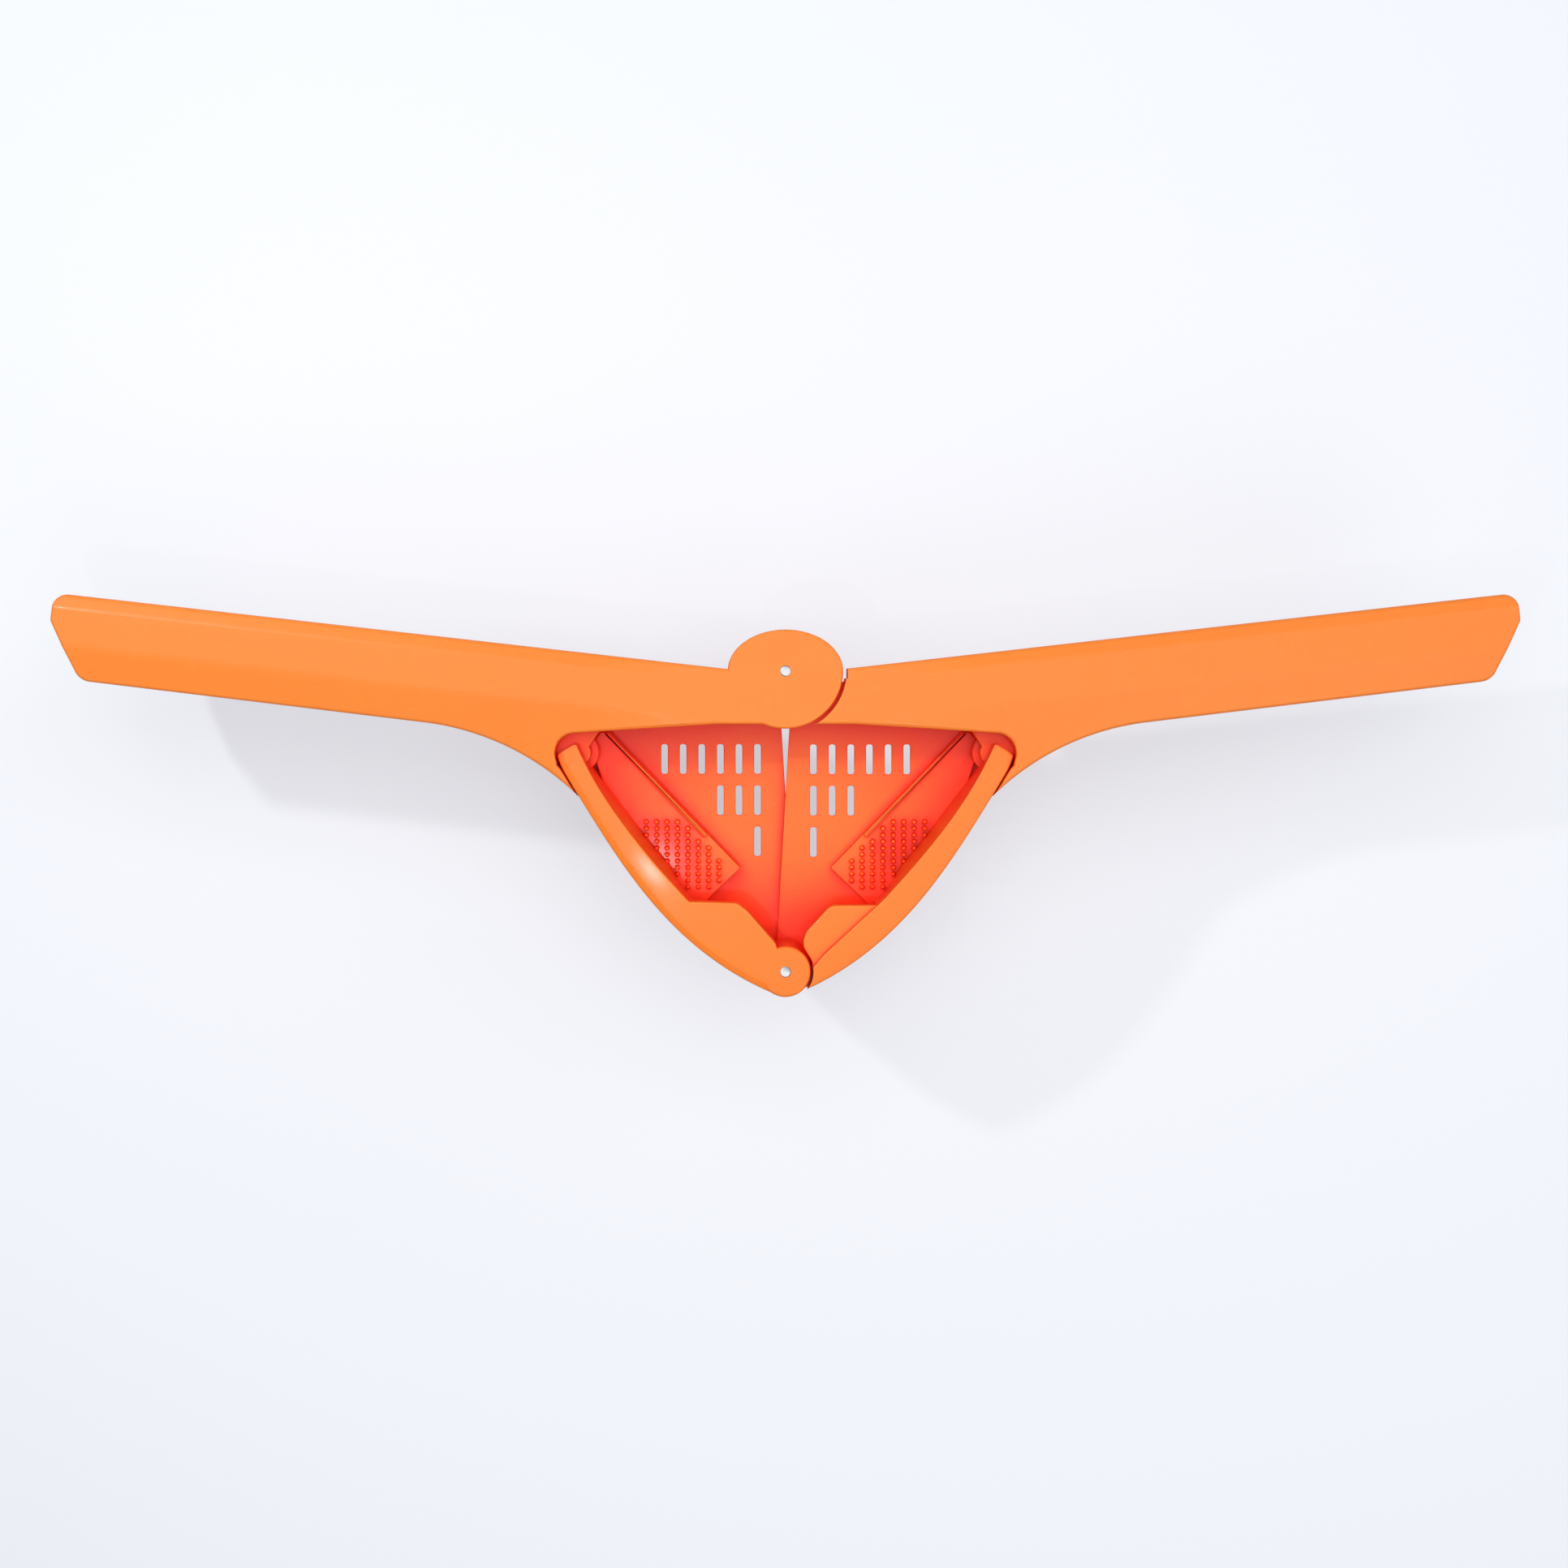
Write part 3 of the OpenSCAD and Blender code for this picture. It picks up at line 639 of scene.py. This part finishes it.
# %% floor, shelf, bead and lip
floor_top, floor_edge_gap, floor_lean = 14.0, 3.0, math.tan(math.radians(3.4))
shelf_in, shelf_end, bead_w, bead_end = 10.2, 58.0, 1.5, 44.0
tab_h, tab_from, tab_to, tab_foot, floor_in = 3.5, -7, 26, 12, -2
def floor_plate(z0):
    """from the base up the open edge, round the tab beside the shelf, back along the jaw"""
    open_edge = [[floor_edge_gap, -base_drop],
                 [floor_edge_gap - (base_drop - floor_top) * floor_lean, -floor_top]]
    tab = [[tab_from, -floor_top + tab_h], [tab_to - pivot_out, -floor_top + tab_h],
           [tab_foot - pivot_out, -floor_top], [5 - pivot_out, 4 - pivot_drop]]
    outline = np.concatenate([open_edge, tab, to_plane(jaw_outer(floor_in, 24))])
    return stack(outline, edge_rows(z0, z0 + floor_t, 0.25, 0.25, 3))

def shelf(z0):
    """the raised plate along the wall"""
    outline = [[3.5, 2], [0.6, 2.1], [-0.2, 8.1], [1.4, shelf_in],
               [shelf_end, shelf_in], [shelf_end, -9], [20, -6]]
    return stack(to_plane(softened(outline, 0.6)), edge_rows(z0 + 0.1, shelf_top_z, 0, 0.3, 3))

def bead(z0):
    """the ridge along the shelf's free edge"""
    outer, inner = shelf_in - 0.1, shelf_in - bead_w
    outline = [[1.6, outer], [bead_end, outer], [bead_end, inner], [0.5, inner]]
    return stack(to_plane(softened(outline, 0.5)), edge_rows(z0 + 0.3, low_top_z, 0, 0.55, 4))

def lip(edge, top):
    """the front plate between the rim and the knuckle, with edge as its free side"""
    root = [[jaw_len - 4, -6.8], [66, -9.5], [54, -9]]
    outline = to_plane(np.concatenate([edge, root]))
    return stack(softened(outline, 3.0, 7), edge_rows(lip_z + 0.3, top, 0.3, 0.45))

left_lip = [[52.4, -7.5], [63.8, 3.7], [67.5, 4.3], [80, 3.7], [jaw_len, 0]]
right_lip = [[53.6, -8], [64.6, 3.3], [66.2, 3.8], [75.4, 3.6], [77.9, 2.6], [79.4, 1], [80.6, -3.7]]
print("floors are %.1f mm thick" % floor_t)

# %% [markdown]
# Rows of small pegs grip the peel, and slots let the juice through. A peg is a stack on a
# small circle whose profile tapers to a round tip. Pegs repeat, so each has only a few
# dozen faces. A slot is a stack that cuts, wider at both faces of the floor.

# %% pegs
peg_r, peg_h, peg_step_x, peg_step_y, tall_to = 0.85, 2.8, 3.1, 1.95, 46
def rim_at(x):
    """how far into the chamber the rim's inner edge lies at x along the jaw"""
    return np.interp(x, *rim_inner().T)

def peg_places():
    """the points of a level grid that fall on the shelf, and each peg's height"""
    i, j = np.meshgrid(np.arange(12), np.arange(11))
    p = np.stack([-41.5 + i.ravel() * peg_step_x, -45 - j.ravel() * peg_step_y], 1)
    q = spun(p - side_pivot, -jaw_dir)
    inside = (q[:, 1] > rim_at(q[:, 0]) + peg_r) & (q[:, 1] < shelf_in - bead_w - peg_r)
    keep = inside & (q[:, 0] < shelf_end - 1.5)
    return p[keep], np.where(q[keep, 0] < tall_to, peg_h, low_top_z - shelf_top_z)

def peg(place, height):
    """a shank that narrows upwards to a rounded tip"""
    top = shelf_top_z + height
    rows = [[0, shelf_top_z - 0.4], [0, shelf_top_z + 0.02], [0.16, shelf_top_z + height*0.55],
            [0.3, top - 0.25], [0.45, top - 0.07], [0.65, top]]
    return stack(arc(place, peg_r, 0, 360, 14)[:-1], rows)

pegs = together([peg(p, h) for p, h in zip(*peg_places())])
print("%d pegs a jaw" % len(peg_places()[0]))

# %% juice slots
slot_w, slot_l, slot_step, slot_row_gap, slot_flare = 2.0, 9.0, 5.6, 3.4, 0.3
def juice_slots(z0):
    """upright slots in rows, as many as stay clear of the shelf"""
    i, j = (a.ravel() for a in np.meshgrid(np.arange(7), np.arange(5)))
    p = np.stack([-42 + i * slot_step, -floor_top - 8 - slot_l - j * (slot_l + slot_row_gap)], 1)
    q = spun(p - [slot_w, 0] - side_pivot, -jaw_dir)
    rear = [[-slot_flare, z0 - 0.5], [-slot_flare, z0], [-0.1, z0 + 0.15], [0, z0 + 0.35]]
    rows = np.concatenate([rear, flare_rows(z0 + 0.5, z0 + floor_t, slot_flare, 3)])
    rows[-1] = [-slot_flare, z0 + floor_t + 0.2]
    shape = lambda x, y: softened(box_outline(x - slot_w/2, x + slot_w/2, y, y + slot_l), 0.95, 6)
    return together([stack(shape(x, y), rows) for x, y in p[q[:, 1] > shelf_in + 1]])

print("slots are %.0f x %.0f mm" % (slot_w, slot_l))

# %% [markdown]
# At the base pin the knuckles of both jaws are stacked like the leaves of a hinge.
# The left jaw holds the pin. The right jaw's knuckles are open clips that leave the
# pin as the squeezer closes.

# %% knuckles and clearances
hub_reach, hub_bearing = float(np.linalg.norm(side_pivot)), math.radians(7.5)
closed_hub = to_plane(hub_reach * np.array([math.cos(hub_bearing), math.sin(hub_bearing)]))
knuckle_gap, low_clip_over, top_clip_t, root_in = 0.8, 0.7, 4.5, 0.15
left_knuckle_z = shelf_top_z + low_clip_over + gap
right_knuckle2_z = lip_z - gap - top_clip_t
knuckle = lambda z0, z1, high=0.3: disc(base, knuckle_r, z0, z1, 0.25, high, 90)
clear = lambda z0, z1: hole(base, knuckle_r + knuckle_gap, z0, z1, 90)
side_clear = hole(side_pivot, side_clear_r, side_lug_z - gap, side_lug_top_z + gap)
side_bore = hole(side_pivot, side_pin_r + turn_gap, behind, lip_z - gap + overlap)
hub_recess = hole(closed_hub, hub_r + 0.5, low_top_z + gap/2, lip_z, 120)

def jaw_parts(floor_z, shelf_z):
    """what both jaws have inside the wall, and the barrel that turns on the side pin"""
    return [floor_plate(floor_z), shelf(shelf_z), bead(shelf_z), pegs,
            disc(side_pivot, barrel_r, left_floor_z, side_lug_z - gap, 0.3, 0.3)]

print("knuckles are %.1f mm wide" % (2 * knuckle_r))

# %% the left jaw
def left_steps():
    """parts added, room cut for the other jaw's knuckles, own knuckles added, bores cut"""
    parts = add(*jaw_parts(left_floor_z, left_shelf_z), lip(left_lip, jaw_top_z))
    room = cut(clear(right_floor_z - gap, left_knuckle_z), clear(right_knuckle2_z - gap, lip_z))
    knuckles = add(knuckle(left_floor_z + root_in, left_floor_z + floor_t - root_in),
                   knuckle(left_knuckle_z, right_knuckle2_z - gap), knuckle(lip_z + root_in, jaw_top_z, 0.9))
    bore = stack(arc(base, pin_r, 0, 360, 48)[:-1], flare_rows(behind, jaw_top_z, 0.15))
    return parts + room + knuckles + cut(side_clear, side_bore, hub_recess, juice_slots(left_floor_z), bore)

left_jaw = worked(solid("left_jaw", wall(left_wall_end)), left_steps())
finished(left_jaw, "left_jaw")

# %% [markdown]
# The right jaw is the mirror image but for its lip, its level and its knuckles. A wedge
# cut out of both knuckles makes them clips: the pin leaves through the open side.

# %% the right jaw
lip_sink, clip_grip, fan_r = 1.2, 1.03, 20
def pin_mouth():
    """a fan that lets the pin into the clip, from 150 to 205 degrees"""
    at_pin = pin_r * clip_grip
    fan = np.array([base + polar(r, a) for r, a in ((at_pin, 60), (fan_r, 150), (fan_r, 205), (at_pin, 295))])
    return cutter(fan, behind, lip_z - gap + overlap)

def right_steps():
    """as the left jaw's, with the mouth cut last"""
    parts = add(*[mirrored(p) for p in jaw_parts(right_floor_z, right_floor_z + floor_t/2)],
                mirrored(lip(right_lip, jaw_top_z - lip_sink)))
    room = cut(clear(0, right_floor_z), clear(left_knuckle_z - gap, right_knuckle2_z),
               clear(lip_z - gap, jaw_top_z + 1))
    knuckles = add(knuckle(right_floor_z + root_in, left_knuckle_z - gap),
                   knuckle(right_knuckle2_z, lip_z - gap))
    return parts + room + knuckles + cut(
        *[mirrored(p) for p in (side_clear, side_bore, hub_recess, juice_slots(right_floor_z))],
        hole(base, pin_r + turn_gap, behind, lip_z, 48), pin_mouth())

right_jaw = worked(solid("right_jaw", mirrored(wall(right_wall_end))), right_steps())
finished(right_jaw, "right_jaw")

# %% [markdown]
# The pins are turned steel: a straight shank, a fine chamfer and a slightly domed end,
# or a dished one at the base. They are stacks on a circle too, with the end's curve in
# the profile, so the chamfer catches the light as a thin ring.

# %% pins
domed, dished, base_pin_sunk, side_pin_z = 0.12, -0.15, 0.6, 0.4
def pin(centre, radius, z0, z1, dome):
    """shank with fine chamfers and an end domed, or dished where dome is negative"""
    edge = [[radius - 0.05, z0], [0.25, z0 + 0.06], [0.04, z0 + 0.25], [0, z0 + 0.4]]
    s = np.linspace(0, 1, 6)[:, None]
    rim = z1 - max(dome, 0)
    end = np.concatenate([0.12 + (radius - 0.17) * s, rim + dome * (1 - (1 - s)**2)], 1)
    return stack(arc(centre, radius, 0, 360, 64)[:-1],
                 np.concatenate([edge, [[0, rim - 0.2], [0.03, rim - 0.09], [0.07, rim - 0.03]], end]))

for node, place, r, z0, z1, end in (
        ("hub_pin", [0, 0], pin_r, hub_z, depth, domed),
        ("base_pin", base, pin_r, left_floor_z, jaw_top_z - base_pin_sunk, dished),
        ("left_pivot_pin", side_pivot, side_pin_r, side_pin_z, side_lug_top_z - pin_cap, domed),
        ("right_pivot_pin", side_pivot * [-1, 1], side_pin_r, side_pin_z, side_lug_top_z - pin_cap, domed)):
    finished(solid(node, pin(np.array(place, float), r, z0, z1, end)), node)

# %% [markdown]
# A finish is a Principled shader with a few nodes before it. Every pattern is noise on
# object coordinates, so it stays on the piece and needs no image. Each kind of node
# has one short word here, where loose nodes and links would take five lines each.
# From here on measures are in metres, as Blender's own are.

# %% nodes for a finish
def rgba(colour):
    """a colour with its alpha, or an output as it is"""
    return colour if isinstance(colour, bpy.types.NodeSocket) else (*colour, 1)

class Finish:
    """a material and the nodes that feed it; noise is moved by shift, in metres"""
    def __init__(self, name, shift=(0, 0, 0)):
        self.material = bpy.data.materials.new(name)
        self.material.use_nodes = True
        self.shader = self.material.node_tree.nodes["Principled BSDF"]
        where = self.node("TexCoord", {}).outputs["Object"]
        self.place = self.node("Mapping", {"Vector": where, "Location": shift}).outputs["Vector"]

    def feed(self, node, inputs):
        """links each output among inputs to the node, and sets the rest as values"""
        for key, value in inputs.items():
            if isinstance(value, bpy.types.NodeSocket):
                self.material.node_tree.links.new(value, node.inputs[key])
            else:
                node.inputs[key].default_value = value
        return node

    def node(self, kind, inputs, **settings):
        """a new node of that kind, set and fed"""
        made = self.material.node_tree.nodes.new("ShaderNode" + kind)
        for key, value in settings.items():
            setattr(made, key, value)
        return self.feed(made, inputs)

    def noise(self, scale, detail=3.0):
        """0 to 1 in soft patches, finer for a larger scale"""
        return self.node("TexNoise", {"Vector": self.place, "Scale": scale, "Detail": detail}).outputs["Fac"]

    def ramp(self, source, low, high, a, b):
        """a where source is at low, b where it is at high"""
        ends = {"From Min": low, "From Max": high, "To Min": a, "To Max": b}
        return self.node("MapRange", {"Value": source, **ends}).outputs["Result"]

    def mixed(self, a, b, by):
        """a where by is 0, b where it is 1"""
        ends = {"A": rgba(a), "B": rgba(b)}
        return self.node("Mix", {**ends, "Factor": by}, data_type="RGBA").outputs["Result"]

    def joined(self, operation, a, b):
        """two values made one by a sum of that name"""
        return self.node("Math", {0: a, 1: b}, operation=operation).outputs["Value"]

    def openness(self, reach):
        """the share of directions that nothing blocks within reach, in metres"""
        return self.node("AmbientOcclusion", {"Distance": reach}, samples=8).outputs["AO"]

    def flatness(self, radius):
        """1 on a flat face, less where an edge lies within radius, in metres"""
        rounded = self.node("Bevel", {"Radius": radius}, samples=4).outputs["Normal"]
        true = self.node("NewGeometry", {}).outputs["Normal"]
        return self.node("VectorMath", {0: rounded, 1: true}, operation="DOT_PRODUCT").outputs["Value"]

print("finish helpers ready")

# %% [markdown]
# The plastic is a pigmented, satin-gloss moulding. Pigment streaks shift its colour a
# little over centimetres, tiny specks of undispersed pigment and dust sit in it, and
# a fine grain in the mould breaks up the gloss. Light that gets into a gap or a corner
# has passed through or off the same orange several times, so there painted shade makes
# the colour a deeper red, and darker still in tight cracks: the share of open space
# round a point says how deep. On an open edge a painted highlight makes the colour
# lighter. A mask painted by hand could do both, but it would have to be painted again
# whenever a size changes.

# %% plastic
streak_scale, speck_scale, gloss_scale, grain_scale = 16, 900, 240, 1500
# how far the painted shade looks in chambers and in cracks, and how wide the painted edge highlight is
chamber_reach, crack_reach, edge_r = 0.045, 0.0025, 0.0008
grain_strength, grain_depth, plastic_ior = 0.12, 0.0001, 1.48

def plastic(name, colour, deep, hollow, edge_highlight, roughness, coat, shine, seed):
    """streaks, specks, painted highlights on open edges, painted deep red shade in hollows and darker painted
    shade in cracks, one over the other
    """
    f = Finish(name, (seed, seed*2, 0))
    near, tight = f.openness(chamber_reach), f.openness(crack_reach)
    speck = [min(1, c*1.15 + 0.03) for c in colour]
    streaked = f.mixed(colour, deep, f.ramp(f.noise(streak_scale), 0.3, 0.75, 0.0, 0.6))
    specked = f.mixed(streaked, speck, f.ramp(f.noise(speck_scale, 1), 0.70, 0.78, 0.0, 0.55))
    # painted highlight: the lighter edge colour goes where the face rounds off, but not down in hollows
    edge = f.ramp(f.flatness(edge_r), 0.995, 0.92, 0.0, 0.45)
    bare = f.ramp(near, 0.78, 0.95, 0.0, 1.0)
    highlighted_edges = f.mixed(specked, edge_highlight, f.joined("MULTIPLY", edge, bare))
    # painted shade: deep red where nearby surfaces close a point in
    shaded_in_hollows = f.mixed(highlighted_edges, hollow, f.ramp(near, 0.45, 0.95, 1.0, 0.0))
    # painted shade: a darker red still in tight cracks
    shaded_in_cracks = f.mixed(shaded_in_hollows, [c * 0.5 for c in hollow], f.ramp(tight, 0.10, 0.55, 0.60, 0.0))
    grain = f.node("Bump", {"Strength": grain_strength, "Distance": grain_depth,
                            "Height": f.noise(grain_scale, 2)}).outputs["Normal"]
    f.feed(f.shader, {
        "Base Color": shaded_in_cracks, "Normal": grain, "IOR": plastic_ior, "Specular IOR Level": shine,
        "Roughness": f.ramp(f.noise(gloss_scale), 0.3, 0.7, roughness - 0.03, roughness + 0.04),
        "Subsurface Weight": 0.3, "Subsurface Radius": (1.0, 0.12, 0.03), "Subsurface Scale": 0.004,
        "Coat Weight": coat, "Coat Roughness": 0.09})
    return f.material

# In both plastics the hollow colour is painted shade, and the lighter edge colour is a painted highlight.
handle_finish = plastic(
    "handle_orange", colour=(0.98, 0.252, 0.030), deep=(0.97, 0.228, 0.026), hollow=(1.0, 0.060, 0.006),
    edge_highlight=(1.0, 0.42, 0.08), roughness=0.44, coat=0.04, shine=0.5, seed=3.1)
jaw_finish = plastic(
    "jaw_orange", colour=(0.98, 0.228, 0.024), deep=(0.97, 0.205, 0.022), hollow=(1.0, 0.030, 0.004),
    edge_highlight=(1.0, 0.40, 0.08), roughness=0.36, coat=0.09, shine=0.36, seed=7.7)
print("plastics", handle_finish.name, jaw_finish.name)

# %% [markdown]
# The pins are bare steel. Turning leaves rings too fine to see at this size, so a fine
# noise in tone and gloss stands for them, where true rings would need their own centres.

# %% steel
steel_scale, steel_dark, steel_light = 2200, (0.66, 0.66, 0.68), (0.86, 0.86, 0.88)
def steel():
    """bare metal whose tone and roughness follow one noise"""
    f = Finish("pin_steel")
    marks = f.noise(steel_scale, 2.0)
    f.feed(f.shader, {"Metallic": 1.0, "Base Color": f.mixed(steel_dark, steel_light, marks),
                      "Roughness": f.ramp(marks, 0.0, 1.0, 0.34, 0.50)})
    return f.material

finish_of = {"pin": steel(), "handle": handle_finish, "jaw": jaw_finish}
for node, obj in skins.items():
    obj.data.materials.clear()
    obj.data.materials.append(finish_of[node.split("_")[-1]])
print("finished", len(skins), "pieces")

# %% [markdown]
# The object hangs 60 mm above a pale floor that takes its shadow. The floor is a level
# grid with its own slight tone. It looks near white because it glows a little where the
# camera sees it, straight or in a reflection. More lamps would whiten it too, but they
# would also bleach the orange.

# %% floor
floor_z, floor_half, floor_cells, floor_glow = -0.06, 1.6, 40, 0.475
def floor_mesh():
    """a level grid of square cells"""
    n = floor_cells + 1
    x, y = np.meshgrid(np.linspace(-floor_half, floor_half, n), np.linspace(-floor_half, floor_half, n))
    verts = np.stack([x.ravel(), y.ravel(), np.full(n*n, floor_z)], 1)
    i, j = (a.ravel() for a in np.meshgrid(np.arange(n-1), np.arange(n-1)))
    k = j*n + i
    mesh = bpy.data.meshes.new("floor")
    mesh.from_pydata(verts.tolist(), [], np.stack([k, k+1, k+n+1, k+n], 1).tolist())
    return mesh

def floor_finish():
    """matt, with a glow for camera, glossy and transmission rays"""
    f = Finish("floor")
    ray = f.node("LightPath", {}).outputs
    seen = f.joined("MAXIMUM", ray["Is Camera Ray"], ray["Is Glossy Ray"])
    seen = f.joined("MAXIMUM", seen, ray["Is Transmission Ray"])
    f.feed(f.shader, {"Base Color": (0.50, 0.505, 0.515, 1), "Roughness": 0.6, "Specular IOR Level": 0.2,
                      "Emission Color": (0.865, 0.91, 1.0, 1),
                      "Emission Strength": f.joined("MULTIPLY", seen, floor_glow)})
    return f.material

floor = bpy.data.objects.new("floor", floor_mesh())
bpy.context.scene.collection.objects.link(floor)
floor.data.materials.append(floor_finish())
print("the floor lies at Z %.0f mm" % (floor_z * 1000))

# %% [markdown]
# The camera looks straight down at the open tool. Its film is shifted and the camera is
# not turned, so the front face stays parallel to the film and nothing converges.

# %% camera
cam = bpy.data.cameras.new("camera")
cam.lens, cam.sensor_width = 47.7, 36
cam.shift_x, cam.shift_y = -0.0009, -0.0704
camera = bpy.data.objects.new("camera", cam)
camera.location = (0.0, 0.0355, 0.63)
bpy.context.scene.collection.objects.link(camera)
bpy.context.scene.camera = camera
print("camera looks straight down from", tuple(round(c, 3) for c in camera.location))

# %% [markdown]
# Plain studio light: a small key from the upper left, which draws the shadow, broad
# weak lamps above, right and in front, a pale surround, and one small lamp for the
# bright spot on the left jaw's rim.

# %% lights
def lamp(name, place, aim, size, power, breadth=None):
    """an area lamp at place, turned towards aim"""
    light = bpy.data.lights.new(name, "AREA")
    light.energy, light.size = power, size
    if breadth:
        light.shape, light.size_y = "RECTANGLE", breadth
    obj = bpy.data.objects.new(name, light)
    obj.location = place
    obj.rotation_euler = (Vector(aim) - Vector(place)).to_track_quat("-Z", "Y").to_euler()
    bpy.context.scene.collection.objects.link(obj)
    return obj

lamp("key", (-0.370, 0.244, 0.470), (0, 0.036, 0.03), 0.03, 0.98)
lamp("overhead", (0.0, 0.05, 1.10), (0, 0.05, 0), 0.90, 1.5, breadth=0.45)
lamp("sky", (0.05, 0.30, 1.10), (0, 0.05, 0), 0.80, 5.4).visible_glossy = False
lamp("fill", (0.90, 0.35, 0.90), (0, 0, 0), 0.9, 3.0)
lamp("front", (0.55, -0.55, 1.15), (0, 0, 0), 0.8, 3.0)
lamp("glint", (-0.0768, -0.0777, 0.63), (-0.0384, -0.0211, 0.0256), 0.014, 0.16)
world = bpy.data.worlds.new("surround")
bpy.context.scene.world = world
world.use_nodes = True
back = world.node_tree.nodes["Background"]
back.inputs["Color"].default_value = (0.97, 0.975, 1.0, 1)
back.inputs["Strength"].default_value = 0.22
bpy.context.scene.view_settings.view_transform = "Standard"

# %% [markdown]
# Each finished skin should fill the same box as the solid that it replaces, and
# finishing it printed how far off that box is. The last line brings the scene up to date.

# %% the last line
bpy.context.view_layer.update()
